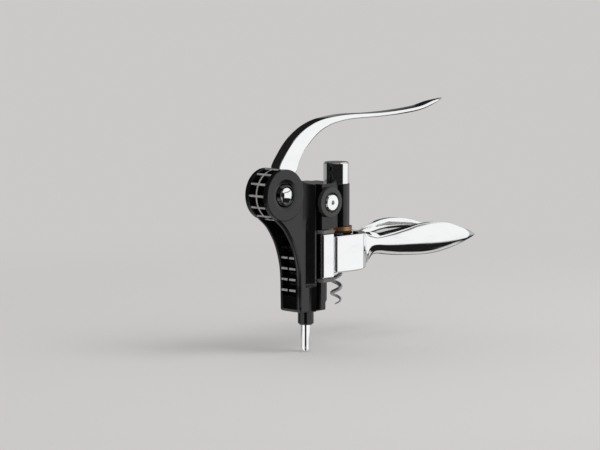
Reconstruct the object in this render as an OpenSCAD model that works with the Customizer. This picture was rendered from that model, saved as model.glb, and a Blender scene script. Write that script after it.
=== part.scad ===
// Lever corkscrew that grips a bottle neck and works a worm through a rack and a geared lever.
// Origin: centre of the bottle rim's seat, on the worm's axis. +Z up, +X towards the grips, +Y left.
// Rest position: lever forward and down, worm fully driven, jaws closed on the neck.

/* [Bottle neck] */
// Radius of the neck that the jaw pads close on
neck_r = 14.25; // [13.5:0.25:15]
// Height of the jaws along the neck
jaw_h = 25.3; // [20:0.1:28]
// Drop of the jaws' top below the rim seat
jaw_drop = 0.5; // [0.4:0.1:2]

/* [Gear and rack] */
// Size of a tooth: pitch diameter over number of teeth
gear_module = 2.35; // [2.2:0.05:2.4]
// Number of teeth on a full circle
gear_teeth = 13; // [12:1:14]
// Angle of the tooth flank
pressure_angle = 25; // [24:1:26]
// Play between a tooth and its gap, on each part
backlash = 0.3; // [0.2:0.05:0.6]
// Width of the gear and of the rack
gear_w = 13.2; // [12:0.1:14]
// Thickness of the disc that runs in the rack's groove
flange_t = 1.2; // [0.8:0.1:2]
// Distance from the worm's axis back to the rack's pitch line
rack_reach = 44.3; // [43:0.1:46]
// Height of the gear's axle above the rim seat
hub_h = 30; // [26:0.5:34]
// Thickness of the rack behind its teeth
rack_back = 4.3; // [3.5:0.1:5]
// Number of teeth on the rack
rack_teeth = 10; // [9:1:10]

/* [Frame] */
// Thickness of each side plate
plate_t = 3.1; // [2.8:0.1:4]
// Height of the round hub above the rest of its plate
hub_raise = 0.8; // [0.4:0.1:1.4]
// Play between the gear and each side plate
side_gap = 0.3; // [0.2:0.05:0.6]
// Radius of the plate round the gear
hub_r = 17.6; // [16.5:0.1:19]
// Depth of the round recess in the hub's face
hub_recess = 1.2; // [0.6:0.1:1.8]
// Radius of the round recess in the hub's face
hub_recess_r = 8.5; // [8.4:0.1:11]
// Front face of the frame, behind the worm's axis
frame_front = 19; // [18:0.1:20]
// Top of the frame in front of the side plates
frame_top = 4.2; // [3.8:0.1:5]
// Depth of the frame's foot below the rim seat
frame_depth = 51.5; // [48:0.5:56]
// Width of the upright post under each hinge
post_w = 5.7; // [4:0.1:6]
// Height of that post above its side plate
post_rise = 4; // [2:0.1:4.5]
// Length of the collar under the frame
collar_h = 10; // [6:0.5:14]
// Radius of the collar under the frame
collar_r = 5.5; // [5:0.1:7]
// Radius of the screws that hold the side plates
frame_screw_r = 1.6; // [1.2:0.1:2]

/* [Nut] */
// Radius of the nut plate over the bottle rim
nut_plate_r = 11; // [10:0.5:13]
// Thickness of the soft ring that sits on the rim
seat_t = 1.5; // [1:0.1:2]
// Radius of the round nut in its plate
nut_r = 7; // [6.5:0.1:8]
// Play between the worm and the nut's thread
thread_play = 0.4; // [0.3:0.05:0.6]

/* [Worm] */
// Radius of the worm's wire
wire_r = 1.4; // [1.2:0.05:1.5]
// Radius of the helix that the wire follows
helix_r = 3.15; // [3:0.05:3.2]
// Rise of the helix in one turn
worm_pitch = 9.2; // [8:0.1:10]
// Depth of the worm's point below the rim seat
worm_depth = 50; // [44:0.5:54]
// Radius of the worm's round head in the carriage
head_r = 6.6; // [6:0.1:7]
// Thickness of the worm's round head
head_t = 5; // [3:0.1:6]

/* [Carriage] */
// Height of the carriage block
carriage_h = 31.2; // [30:0.1:34]
// Height of the step down to the chrome sleeve's seat
sleeve_step = 2.1; // [1:0.1:4]
// Radius of the block's round front
nose_r = 9.3; // [9:0.1:10]
// Half the width of the block behind its nose
block_half_w = 9.6; // [9:0.1:10]
// Half the width of the upright rib under each boss
rib_half_w = 6.7; // [5:0.1:7]
// Reach of the rib beside the worm's axis
rib_reach = 13.5; // [11:0.1:14]
// Thickness of the bosses' rings
ring_t = 3.7; // [2.6:0.1:4]
// Radius of the bosses' rings
ring_r = 10.3; // [9:0.1:11]
// Distance from the worm's axis back to the bosses
ring_x = 21.6; // [18:0.1:22]
// Height of the bosses above the rim seat
ring_z = 23; // [20:0.5:24]
// Radius of the bolt head in each ring
bolt_head_r = 6.5; // [6:0.1:6.6]
// Radius of the chrome sleeve over the worm
sleeve_r = 8.85; // [8:0.05:8.9]
// Height of the chrome sleeve above its seat
sleeve_h = 14.9; // [10:0.1:20]
// Radius of the guide rod
rod_r = 3.5; // [3:0.1:4]
// Distance from the worm's axis back to the guide rod
rod_x = 29.7; // [29:0.1:30]
// Depth of the guide rod's end below the rim seat
rod_depth = 80; // [74:0.5:90]

/* [Lever] */
// Reach of the lever's tip in front of the worm's axis
lever_reach = 107; // [100:1:120]
// Height of the lever's tip above the rim seat
lever_tip_z = 87.8; // [84:0.5:92]
// Width of the lever above the gear
lever_w = 8.6; // [7:0.1:10]
// Width of the lever where it is widest, past its bend
lever_mid_w = 11; // [9:0.5:13]
// Thickness of the lever's tang in the gear's slot
tang_w = 6; // [5:0.1:7]

/* [Axle] */
// Radius of the gear's axle
axle_r = 4.5; // [4:0.1:5]
// Outer radius of the bush in the gear
bush_r = 6; // [5.6:0.1:6.4]
// Radius of the cap on each end of the axle, at its face
cap_r = 7.4; // [6.8:0.1:7.6]
// Height of the axle's caps to the rim of their faces
cap_h = 3.8; // [3:0.1:4.6]

/* [Grips] */
// Distance from the worm's axis back to the hinge pins
hinge_x = 24.5; // [24:0.1:25]
// Radius of the hinge pins
pin_r = 2; // [1.6:0.1:2.2]
// Radius of the knuckle round each hinge pin
knuckle_r = 3.2; // [3:0.1:3.3]
// Outer face of the jaws beside the worm's axis
jaw_half_w = 17.5; // [17:0.1:18.5]
// Thickness of the soft pads in the jaws
pad_t = 1.5; // [1:0.1:2]
// Half the gap between the two jaws in front
jaw_gap = 0.8; // [0.5:0.1:2]
// Reach of the grips in front of the worm's axis
grip_reach = 129; // [120:1:136]
// Reach of each grip to its side where it swells
grip_swell = 22.5; // [21:0.1:24]
// Thickness of the grips' walls
grip_t = 4.4; // [3:0.1:6]

/* [Fits] */
// Radial play of a shaft that turns or slides
run_fit = 0.05; // [0.03:0.01:0.08]
// Radial play of a fixed pin or screw
seat_fit = 0.02; // [0.01:0.01:0.03]
// Gap between parts that pass each other
gap = 0.3; // [0.25:0.05:0.4]

/* [Hidden] */
$fn = 64;

LEFT = 1;
RIGHT = -1;
black = "#1d1d20";
chrome = "#d8dade";
steel = "#a9abb0";
grey = "#6a6c70";
bronze = "#8a5a30";
rubber = "#2a2422";

// Gear and rack
pitch_r = gear_module * gear_teeth / 2;
tip_r = pitch_r + gear_module;
root_r = pitch_r - 1.25 * gear_module;
base_r = pitch_r * cos(pressure_angle);
tooth_step = PI * gear_module;
tooth_turn = 360 / gear_teeth;
hub_x = -(rack_reach + pitch_r);
slot_from = 36;
slot_to = 88;
lever_pin_r = 1.2;
tang_low_r = bush_r + 1.7;
lever_pin_at = (tang_low_r + root_r) / 2;
lever_pin_angles = [slot_from + 15, slot_to - 14];
flange_r = tip_r - 0.4;
groove_play = 0.3;
rack_tip_x = -(rack_reach + gear_module);
rack_root_x = -(rack_reach - 1.25 * gear_module);
rack_back_x = rack_root_x + rack_back;
rack_top = hub_h + tooth_step * 0.86;
rack_low = hub_h - tooth_step * (rack_teeth - 1) - tooth_step * 0.5;

// Frame
plate_in = gear_w / 2 + side_gap;
plate_out = plate_in + plate_t;
hub_out = plate_out + hub_raise;
hub_floor = hub_out - hub_recess;
cap_flare = 0.8;
cap_rim = 1;
cap_dish = 0.6;
cap_bulge = 1.5;
plate_edge_x = -32.8;
plate_top = 36;
spine_back_x = rack_back_x + gap;
foot_h = abs(frame_depth + rack_low) - gap;
foot_back_x = rack_tip_x + 1.4;
hinge_y = plate_out + gap + knuckle_r;
ear_t = 2.3;
rib_t = 0.8;
rib_out = plate_out + 1.4;
fillet_r = 4;
pillar_r = 1;
boss_step = 0.6;
post_back = 2.2;
post_low = 0.8 - frame_depth;
ear_out = jaw_half_w - 0.3;
ear_back_x = -(hinge_x + 6.2);
ear_front_x = -(hinge_x - 6.2);
ear_low_top = -(jaw_drop + jaw_h + 3.2);
knuckle_top = frame_top - ear_t - gap;
knuckle_low = ear_low_top + gap;
frame_screw_places = [[-39.8, 4.6 - frame_depth], [-22.9, 9 - frame_depth], [-22.9, 16.5 - frame_depth]];
screw_head_r = 2.9;
screw_head_t = 1.7;

// Nut
nut_tongue_w = 13;
nut_tongue_x = -25.6;
nut_screw_r = 1.2;
nut_screw_x = -22.5;
nut_screw_y = 3.8;
nut_screw_depth = 9;
seat_in_r = nut_r + gap;

// Carriage
carriage_low = frame_top + gap;
carriage_top = carriage_low + carriage_h;
sleeve_seat = carriage_top - sleeve_step;
block_back_x = plate_edge_x + gap;
bridge_w = gear_w - 2 * gap;
tenon_w = 6;
tenon_x = rack_back_x + 3.2;
rack_pin_r = 1;
rack_pin_x = rack_back_x + 1.7;
rack_pin_zs = [carriage_low + 6, rack_top - 8];
ring_face = rib_reach + ring_t;
ring_wall = 3.5;
ring_recess = 1.6;
bolt_seat = ring_face - ring_recess;
bolt_r = 2.5;
bolt_grip = 2.2;
bolt_rise = 2.4;
bolt_bevel = 1.3;
hex_r = 1.6;
hex_depth = 1.4;

// Worm, its head and its washers
shank_r = helix_r + wire_r + 0.05;
pocket_r = head_r + 0.4;
washer_t = 1;
washer_play = 0.1;
pocket_low = sleeve_seat - head_t - 2 * washer_t - 3 * washer_play - 6;
head_low = pocket_low + washer_t + washer_play;
head_top = head_low + head_t;
sleeve_low = head_top + washer_t + 2 * washer_play;
washer_in_r = shank_r + 0.2;
worm_facets = 10;
worm_steps = 14;

// Grips
lower_jaw = -(jaw_drop + jaw_h);
jaw_round_x = 4.4;
jaw_back_x = -17.4;
jaw_tail_y = 8;
grip_root_x = 16;
neck_recess = 2.9;

// A point at a distance and an angle
function polar(r, a) = [r * cos(a), r * sin(a)];

// A point on a smooth curve through p1 and p2, at t from 0 to 1, with neighbours p0 and p3
function spline(p0, p1, p2, p3, t) =
    0.5 * (2 * p1 + (p2 - p0) * t + (2 * p0 - 5 * p1 + 4 * p2 - p3) * t * t
    + (3 * p1 - p0 - 3 * p2 + p3) * t * t * t);

// A smooth curve through a short list of points, with n steps between each two
function smooth(points, n = 5) =
    let (last = len(points) - 1)
    concat([
        for (i = [0 : last - 1])
            for (k = [0 : n - 1])
                spline(points[max(i - 1, 0)], points[i], points[i + 1], points[min(i + 2, last)], k / n)
    ], [points[last]]);

function reversed(list) = [for (i = [len(list) - 1 : -1 : 0]) list[i]];

// Half the angle that a tooth fills at radius r, from the involute of its flank
function involute(r) = tan(acos(base_r / r)) * 180 / PI - acos(base_r / r);
function half_tooth(r) =
    (tooth_step / 2 - backlash) / 2 / pitch_r * 180 / PI + involute(pitch_r) - involute(max(r, base_r));

// Outline of a rounded slab seen from the side: X forwards and Z up, swept along Y
module from_side(y0, y1) {
    translate([0, y1, 0])
        rotate([90, 0, 0])
            linear_extrude(y1 - y0)
                children();
}

// A cylinder along Y from y0 to y1
module y_rod(r, y0, y1) {
    translate([0, y0, 0])
        rotate([-90, 0, 0])
            cylinder(r = r, h = y1 - y0);
}

// A cone along Y, of radius r0 at y0 and r1 at y1
module y_cone(r0, r1, y0, y1) {
    translate([0, y0, 0])
        rotate([-90, 0, 0])
            cylinder(r1 = r0, r2 = r1, h = y1 - y0);
}

// A cylinder along Z from z0 to z1
module z_rod(r, z0, z1) {
    translate([0, 0, z0])
        cylinder(r = r, h = z1 - z0);
}

// What is drawn for the left side, kept there or mirrored to the right
module on_side(side) {
    if (side == LEFT) {
        children();
    } else {
        mirror([0, 1, 0])
            children();
    }
}

// Rear edge of the side plates from the hub down to the foot
plate_rear = smooth([
    polar(hub_r, 222) + [hub_x, hub_h], [-66.4, 13], [-59.6, 7.2], [-55.2, 1.4], [-51.7, -4.5],
    [-48.6, -12.5], [-46.4, -21.5], [-45.6, -31.5], [-45.4, -42]
], 3);

module plate_outline() {
    web_start = polar(hub_r, 38) + [hub_x, hub_h];
    polygon(concat(
        plate_rear,
        [[-45.2, 2.5 - frame_depth], [-43.4, 0.3 - frame_depth], [-42, -frame_depth]],
        [[-frame_front - 4.5, -frame_depth], [-frame_front, 7 - frame_depth], [-frame_front, frame_top]],
        [[plate_edge_x, frame_top], [plate_edge_x, plate_top]],
        smooth([[plate_edge_x, plate_top], [-38.9, 36.9], [-43.1, 38.8], web_start], 3)
    ));
    translate([hub_x, hub_h])
        circle(hub_r);
}

// Rib behind the hinge block, with a hollow fillet down to the plate
module hinge_rib() {
    rib_x = ear_back_x - rib_t;
    translate([0, 0, ear_low_top - ear_t])
        linear_extrude(frame_top - ear_low_top + ear_t)
            polygon(concat(
                [[ear_back_x, plate_out - 1], [ear_back_x, rib_out], [rib_x, rib_out]],
                [
                    for (a = [0 : 15 : 75])
                        [rib_x - fillet_r * (1 - cos(a)), rib_out - (rib_out - plate_out) * sin(a)]
                ],
                [[rib_x - fillet_r, plate_out], [rib_x - fillet_r, plate_out - 1]]
            ));
}

// Upright pillar on a side face, with rounded outer corners
module pillar(x, half_w, y0, y1, z0, z1) {
    translate([x - half_w, y0 - 1, z0])
        cube([2 * half_w, y1 - y0 + 1 - pillar_r, z1 - z0]);
    translate([x - half_w + pillar_r, y1 - 2 * pillar_r, z0])
        cube([2 * (half_w - pillar_r), 2 * pillar_r, z1 - z0]);
    for (side_x = [x - half_w + pillar_r, x + half_w - pillar_r])
        translate([side_x, y1 - pillar_r, 0])
            z_rod(pillar_r, z0, z1);
}

module ear(z0, z1) {
    translate([ear_back_x, plate_out - 1, z0])
        cube([ear_front_x - ear_back_x, ear_out - plate_out + 1 - 1.5, z1 - z0]);
    translate([ear_back_x + 1.5, ear_out - 2, z0])
        cube([ear_front_x - ear_back_x - 3, 2, z1 - z0]);
    for (x = [ear_back_x + 1.5, ear_front_x - 1.5])
        translate([x, ear_out - 1.5, 0])
            z_rod(1.5, z0, z1);
}

module side_plate(side) {
    color(black)
        on_side(side)
            difference() {
                union() {
                    from_side(plate_in, plate_out)
                        plate_outline();
                    translate([hub_x, 0, hub_h])
                        y_rod(hub_r, plate_in, hub_out);
                    ear(frame_top - ear_t, frame_top);
                    ear(ear_low_top - ear_t, ear_low_top);
                    hinge_rib();
                    pillar(-hinge_x - post_back, post_w / 2, plate_out, plate_out + post_rise,
                        post_low, ear_low_top - ear_t + 1);
                }
                translate([hub_x, 0, hub_h]) {
                    y_rod(axle_r + seat_fit, plate_in - 1, hub_out + 1);
                    y_rod(hub_recess_r, hub_floor, hub_out + 1);
                }
                translate([-hinge_x, hinge_y, 0])
                    z_rod(pin_r + seat_fit, ear_low_top - ear_t - 1, frame_top + 1);
                for (place = frame_screw_places)
                    translate([place[0], 0, place[1]])
                        if (side == LEFT) {
                            y_rod(frame_screw_r + seat_fit, plate_in - 1, plate_out + 1);
                            y_rod(screw_head_r + 0.1, plate_out - screw_head_t, plate_out + post_rise + 1);
                        } else {
                            y_rod(frame_screw_r + seat_fit, plate_in - 1, plate_out - 1.2);
                        }
            }
}

module side_plate_left() {
    side_plate(LEFT);
}

module side_plate_right() {
    side_plate(RIGHT);
}

module frame_spine() {
    color(black)
        difference() {
            from_side(-plate_in, plate_in)
                polygon([
                    [spine_back_x, frame_top], [-frame_front - 0.6, frame_top],
                    [-frame_front - 0.6, 7.4 - frame_depth], [-frame_front - 5, -frame_depth],
                    [foot_back_x + 2, -frame_depth], [foot_back_x, 2 - frame_depth],
                    [foot_back_x, foot_h - frame_depth], [spine_back_x, foot_h - frame_depth]
                ]);
            translate([-rod_x, 0, 0])
                z_rod(rod_r + run_fit, -frame_depth - 1, frame_top + 1);
            translate([nut_tongue_x, -nut_tongue_w / 2, seat_t])
                cube([-nut_tongue_x, nut_tongue_w, frame_top]);
            for (y = [-nut_screw_y, nut_screw_y])
                translate([nut_screw_x, y, 0])
                    z_rod(nut_screw_r + seat_fit, frame_top - nut_screw_depth, frame_top);
            for (place = frame_screw_places)
                translate([place[0], 0, place[1]])
                    y_rod(frame_screw_r + seat_fit, -plate_in - 1, plate_in + 1);
        }
}

module rod_collar() {
    color(black)
        translate([-rod_x, 0, 0])
            difference() {
                union() {
                    z_rod(collar_r, -frame_depth - collar_h + 0.8, -frame_depth);
                    z_rod(collar_r - 0.8, -frame_depth - collar_h, -frame_depth);
                }
                z_rod(rod_r + run_fit, -frame_depth - collar_h - 1, -frame_depth + 1);
            }
}

module frame_screws() {
    color(steel)
        for (place = frame_screw_places)
            translate([place[0], 0, place[1]])
                difference() {
                    union() {
                        y_rod(frame_screw_r, 1.6 - plate_out, plate_out - screw_head_t);
                        y_rod(screw_head_r, plate_out - screw_head_t, plate_out - 0.1);
                    }
                    translate([0, plate_out, 0])
                        rotate([90, 0, 0])
                            cylinder(r = frame_screw_r, h = 1.2, $fn = 6);
                }
}

module nut_plate() {
    color(bronze)
        difference() {
            union() {
                z_rod(nut_plate_r, seat_t, frame_top);
                translate([nut_tongue_x + gap, gap - nut_tongue_w / 2, seat_t])
                    cube([-nut_tongue_x - gap, nut_tongue_w - 2 * gap, frame_top - seat_t]);
            }
            z_rod(nut_r + seat_fit, seat_t - 1, frame_top + 1);
            for (y = [-nut_screw_y, nut_screw_y])
                translate([nut_screw_x, y, 0]) {
                    z_rod(nut_screw_r + seat_fit, seat_t - 1, frame_top + 1);
                    z_rod(2.1, frame_top - 1.2, frame_top + 1);
                }
        }
}

module nut_screws() {
    color(steel)
        for (y = [-nut_screw_y, nut_screw_y])
            translate([nut_screw_x, y, 0]) {
                z_rod(nut_screw_r, frame_top - nut_screw_depth + 0.4, frame_top - 1.2);
                z_rod(2, frame_top - 1.2, frame_top - 0.1);
            }
}

module rim_seat() {
    color(rubber)
        difference() {
            z_rod(nut_plate_r - 0.4, 0, seat_t);
            z_rod(seat_in_r, -1, seat_t + 1);
        }
}

// Centre of the wire at a height, on a helix that is at angle 0 where z is 0
function helix_point(z) = [helix_r * cos(z / worm_pitch * 360), helix_r * sin(z / worm_pitch * 360), z];

// A wire swept along the helix from z0 up to z1, pointed over its lowest stretch
module helix_wire(r, z0, z1, point_h) {
    rings = ceil((z1 - z0) / worm_pitch * worm_steps);
    rise = atan(worm_pitch / (2 * PI * helix_r));
    points = [
        for (i = [0 : rings])
            let (
                z = z0 + (z1 - z0) * i / rings,
                a = z / worm_pitch * 360,
                slim = point_h > 0 ? min(1, 0.12 + 0.88 * sqrt(max(0, z - z0) / point_h)) : 1,
                out = [cos(a), sin(a), 0],
                up = [sin(a) * sin(rise), -cos(a) * sin(rise), cos(rise)]
            )
            for (k = [0 : worm_facets - 1])
                let (b = k / worm_facets * 360)
                helix_point(z) + r * slim * (cos(b) * out + sin(b) * up)
    ];
    sides = [
        for (i = [0 : rings - 1])
            for (k = [0 : worm_facets - 1])
                let (
                    a = i * worm_facets + k,
                    b = i * worm_facets + (k + 1) % worm_facets
                )
                each [[a, b, a + worm_facets], [b, b + worm_facets, a + worm_facets]]
    ];
    last = rings * worm_facets;
    low_end = [for (k = [1 : worm_facets - 2]) [0, k + 1, k]];
    high_end = [for (k = [1 : worm_facets - 2]) [last, last + k, last + k + 1]];
    polyhedron(points = points, faces = concat(sides, low_end, high_end), convexity = 12);
}

module drive_nut() {
    color(bronze)
        difference() {
            z_rod(nut_r, 0.3, frame_top);
            helix_wire(wire_r + thread_play, -worm_pitch * 0.7, frame_top + worm_pitch * 0.6, 0);
        }
}

module worm() {
    color(steel)
        union() {
            helix_wire(wire_r, -worm_depth, carriage_low + 2, worm_pitch * 1.1);
            z_rod(shank_r, carriage_low + 0.1, head_low + 0.1);
            z_rod(head_r, head_low, head_top);
        }
}

module hub_axle() {
    color(steel)
        translate([hub_x, 0, hub_h])
            difference() {
                y_rod(axle_r, -hub_floor, hub_floor);
                for (side = [LEFT, RIGHT])
                    on_side(side)
                        y_rod(2 + seat_fit, hub_floor - 6, hub_floor + 1);
            }
}

// A domed head with its flat side on the plane y = 0, bulging towards +Y
module dome(r, h) {
    ball = (r * r + h * h) / (2 * h);
    rotate([-90, 0, 0])
        rotate_extrude()
            intersection() {
                translate([0, h - ball])
                    circle(ball, $fn = 96);
                square([r, h]);
            }
}

module axle_cap(side) {
    color(chrome)
        on_side(side)
            translate([hub_x, 0, hub_h]) {
                y_rod(2, hub_floor - 5.5, hub_floor + 0.2);
                difference() {
                    y_cone(cap_r + cap_flare, cap_r, hub_floor, hub_floor + cap_h);
                    y_rod(cap_r - cap_rim, hub_floor + cap_h - cap_dish, hub_floor + cap_h + 1);
                }
                translate([0, hub_floor + cap_h - cap_dish, 0])
                    dome(cap_r - cap_rim - gap, cap_bulge);
            }
}

module axle_cap_left() {
    axle_cap(LEFT);
}

module axle_cap_right() {
    axle_cap(RIGHT);
}

module hinge_pin(side) {
    color(steel)
        on_side(side)
            translate([-hinge_x, hinge_y, 0])
                z_rod(pin_r, ear_low_top - ear_t, frame_top - 0.1);
}

module hinge_pin_left() {
    hinge_pin(LEFT);
}

module hinge_pin_right() {
    hinge_pin(RIGHT);
}

// Sector of a disc between two angles
module wedge(r, a0, a1) {
    polygon(concat([[0, 0]], [for (a = [a0 : (a1 - a0) / 12 : a1 + 0.01]) polar(r / cos((a1 - a0) / 24), a)]));
}

module gear_outline() {
    circle(root_r);
    for (i = [0 : gear_teeth - 1]) {
        middle = 180 + i * tooth_turn;
        turn = middle % 360;
        if (turn < slot_from - 8 || turn > slot_to + 2)
            rotate(middle)
                polygon(concat(
                    [[0, 0]],
                    [polar(root_r - 0.2, -half_tooth(base_r)), polar(base_r, -half_tooth(base_r))],
                    [for (k = [1 : 4]) let (r = base_r + (tip_r - base_r) * k / 4) polar(r, -half_tooth(r))],
                    [for (k = [4 : -1 : 1]) let (r = base_r + (tip_r - base_r) * k / 4) polar(r, half_tooth(r))],
                    [polar(base_r, half_tooth(base_r)), polar(root_r - 0.2, half_tooth(base_r))]
                ));
    }
}

module drive_gear() {
    color(steel)
        translate([hub_x, 0, hub_h])
            difference() {
                union() {
                    from_side(-gear_w / 2, gear_w / 2)
                        gear_outline();
                    from_side(-flange_t / 2, flange_t / 2)
                        difference() {
                            circle(flange_r);
                            wedge(flange_r + 2, slot_from - 16, slot_to + 4);
                        }
                }
                y_rod(bush_r + seat_fit, -gear_w, gear_w);
                from_side(-tang_w / 2 - seat_fit, tang_w / 2 + seat_fit)
                    intersection() {
                        wedge(flange_r + 4, slot_from + 2, slot_to - 1);
                        difference() {
                            circle(flange_r + 5);
                            circle(tang_low_r - gap);
                        }
                    }
                for (a = lever_pin_angles)
                    translate([polar(lever_pin_at, a)[0], 0, polar(lever_pin_at, a)[1]])
                        y_rod(lever_pin_r + seat_fit, -gear_w, gear_w);
            }
}

module gear_bush() {
    color(bronze)
        translate([hub_x, 0, hub_h])
            difference() {
                y_rod(bush_r, -gear_w / 2, gear_w / 2);
                y_rod(axle_r + run_fit, -gear_w, gear_w);
            }
}

module lever_pins() {
    color(steel)
        translate([hub_x, 0, hub_h])
            for (a = lever_pin_angles)
                translate([polar(lever_pin_at, a)[0], 0, polar(lever_pin_at, a)[1]])
                    y_rod(lever_pin_r, 0.1 - gear_w / 2, gear_w / 2 - 0.1);
}

// The lever's upper and lower edges, from the gear to the tip, as offsets from the gear's axle
lever_dx = lever_reach - hub_x;
lever_dz = lever_tip_z - hub_h;
lever_upper = smooth([
    [0.9, root_r + 0.6], [0.5, 18.5], [6.3, 27], [13.4, 34.8], [20.8, 40.4], [30, 45.2], [41.2, 48.6],
    [55.4, 50.4], [lever_dx - 97, 51], [lever_dx - 68.8, 50.7], [lever_dx - 47.6, 51.4],
    [lever_dx - 26.4, lever_dz - 4.6], [lever_dx - 12.2, lever_dz - 1.6], [lever_dx, lever_dz]
], 3);
lever_lower = smooth([
    [10.4, 8.6], [17, 14.6], [20.2, 21.5], [24.6, 28.2], [28.6, 32], [34.5, 37], [41.6, 41.4],
    [48.8, 44.2], [56, 46], [lever_dx - 97, 47.6], [lever_dx - 68.8, 48], [lever_dx - 47.6, 48.7],
    [lever_dx - 26.4, lever_dz - 7.3], [lever_dx - 12.2, lever_dz - 4.3], [lever_dx - 4, lever_dz - 1.6]
], 3);

// Half the lever's width seen from above
lever_half = smooth([
    [-4, lever_w / 2], [24, lever_w / 2], [48, lever_w / 2 + 0.2], [lever_dx / 2, lever_mid_w / 2],
    [lever_dx - 50, lever_mid_w / 2], [lever_dx - 22, lever_mid_w / 2 - 1.1],
    [lever_dx - 6, lever_mid_w / 2 - 3.2], [lever_dx + 0.5, 0.8]
], 3);

module lever() {
    color(chrome)
        translate([hub_x, 0, hub_h])
            difference() {
                union() {
                    intersection() {
                        from_side(-lever_mid_w, lever_mid_w)
                            difference() {
                                polygon(concat(lever_upper, reversed(lever_lower)));
                                circle(root_r + gap);
                            }
                        translate([0, 0, -10])
                            linear_extrude(lever_dz + 30)
                                polygon(concat(
                                    lever_half,
                                    [for (p = reversed(lever_half)) [p[0], -p[1]]]
                                ));
                    }
                    from_side(-tang_w / 2, tang_w / 2)
                        intersection() {
                            wedge(flange_r, slot_from + 5, slot_to - 4);
                            difference() {
                                circle(root_r + 1);
                                circle(tang_low_r);
                            }
                        }
                }
                for (a = lever_pin_angles)
                    translate([polar(lever_pin_at, a)[0], 0, polar(lever_pin_at, a)[1]])
                        y_rod(lever_pin_r + seat_fit, -gear_w, gear_w);
            }
}

module carriage() {
    color(black)
        difference() {
            union() {
                z_rod(nose_r, carriage_low, sleeve_seat);
                translate([-nose_r, -nose_r + 0.6, carriage_low])
                    cube([nose_r, 2 * nose_r - 1.2, sleeve_seat - carriage_low]);
                translate([block_back_x, -block_half_w, carriage_low])
                    cube([-nose_r - block_back_x - gap, 2 * block_half_w, carriage_h]);
                translate([-nose_r - gap - 1, -block_half_w, carriage_low])
                    cube([2, 2 * block_half_w, sleeve_seat - carriage_low]);
                for (side = [LEFT, RIGHT])
                    on_side(side) {
                        pillar(-ring_x, rib_half_w, block_half_w, rib_reach, carriage_low, carriage_top);
                        translate([-ring_x, 0, ring_z])
                            y_rod(ring_r - boss_step, block_half_w - 1, rib_reach);
                    }
                translate([rack_back_x, -bridge_w / 2, carriage_low])
                    cube([block_back_x - rack_back_x + 1, bridge_w, carriage_h]);
            }
            // Seat of the chrome sleeve, and the pocket of the worm's head below it
            z_rod(sleeve_r + gap, sleeve_seat, carriage_top + 1);
            z_rod(shank_r + run_fit, carriage_low - 1, pocket_low + 1);
            z_rod(pocket_r, pocket_low, sleeve_seat + 1);
            // Slot of the rack's tenon and its pins
            translate([rack_back_x - 1, -tenon_w / 2 - seat_fit, carriage_low - 1])
                cube([tenon_x - rack_back_x + 1 + seat_fit, tenon_w + 2 * seat_fit, carriage_h + 2]);
            for (z = rack_pin_zs)
                translate([rack_pin_x, 0, z])
                    y_rod(rack_pin_r + seat_fit, -gear_w, gear_w);
            translate([-rod_x, 0, 0])
                z_rod(rod_r + seat_fit, carriage_low - 1, carriage_top - 6);
            for (side = [LEFT, RIGHT])
                on_side(side)
                    translate([-ring_x, 0, ring_z])
                        y_rod(bolt_r + seat_fit, block_half_w - bolt_grip, rib_reach + 1);
        }
}

module rack_tooth(z) {
    half_root = tooth_step / 4 - backlash / 2 + 1.25 * gear_module * tan(pressure_angle);
    half_tip = tooth_step / 4 - backlash / 2 - gear_module * tan(pressure_angle);
    polygon([
        [rack_root_x + 1, z - half_root], [rack_root_x, z - half_root], [rack_tip_x, z - half_tip],
        [rack_tip_x, z + half_tip], [rack_root_x, z + half_root], [rack_root_x + 1, z + half_root]
    ]);
}

module rack() {
    color(steel)
        difference() {
            union() {
                from_side(-gear_w / 2, gear_w / 2)
                    union() {
                        translate([rack_root_x, rack_low])
                            square([rack_back_x - rack_root_x, rack_top - rack_low]);
                        for (i = [0 : rack_teeth - 1])
                            rack_tooth(hub_h - i * tooth_step);
                    }
                translate([rack_back_x - 1, -tenon_w / 2, carriage_low])
                    cube([tenon_x - rack_back_x + 1, tenon_w, carriage_h - 1]);
            }
            translate([rack_tip_x - 1, -flange_t / 2 - groove_play, rack_low - 1])
                cube([rack_root_x - rack_tip_x + 1.6, flange_t + 2 * groove_play, rack_top - rack_low + 2]);
            for (z = rack_pin_zs)
                translate([rack_pin_x, 0, z])
                    y_rod(rack_pin_r + seat_fit, -gear_w, gear_w);
        }
}

module rack_pins() {
    color(steel)
        for (z = rack_pin_zs)
            translate([rack_pin_x, 0, z])
                y_rod(rack_pin_r, 0.1 - bridge_w / 2, bridge_w / 2 - 0.1);
}

module guide_rod() {
    color(chrome)
        translate([-rod_x, 0, 0]) {
            z_rod(rod_r, rod_r - rod_depth, carriage_top - 6.1);
            translate([0, 0, rod_r - rod_depth])
                sphere(rod_r);
        }
}

module top_sleeve() {
    color(chrome)
        union() {
            z_rod(pocket_r - seat_fit, sleeve_low, sleeve_seat + 1);
            z_rod(sleeve_r, sleeve_seat, sleeve_seat + sleeve_h - 0.6);
            z_rod(sleeve_r - 0.6, sleeve_seat, sleeve_seat + sleeve_h);
        }
}

module washer(z) {
    difference() {
        z_rod(pocket_r - seat_fit, z, z + washer_t);
        z_rod(washer_in_r, z - 1, z + washer_t + 1);
    }
}

module thrust_washers() {
    color(bronze) {
        washer(pocket_low);
        washer(head_top + washer_play);
    }
}

module boss_ring(side) {
    color(grey)
        on_side(side)
            translate([-ring_x, 0, ring_z])
                difference() {
                    y_rod(ring_r, rib_reach, ring_face);
                    y_rod(ring_r - ring_wall, bolt_seat, ring_face + 1);
                    y_rod(bolt_r + seat_fit, rib_reach - 1, ring_face);
                }
}

module boss_ring_left() {
    boss_ring(LEFT);
}

module boss_ring_right() {
    boss_ring(RIGHT);
}

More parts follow.
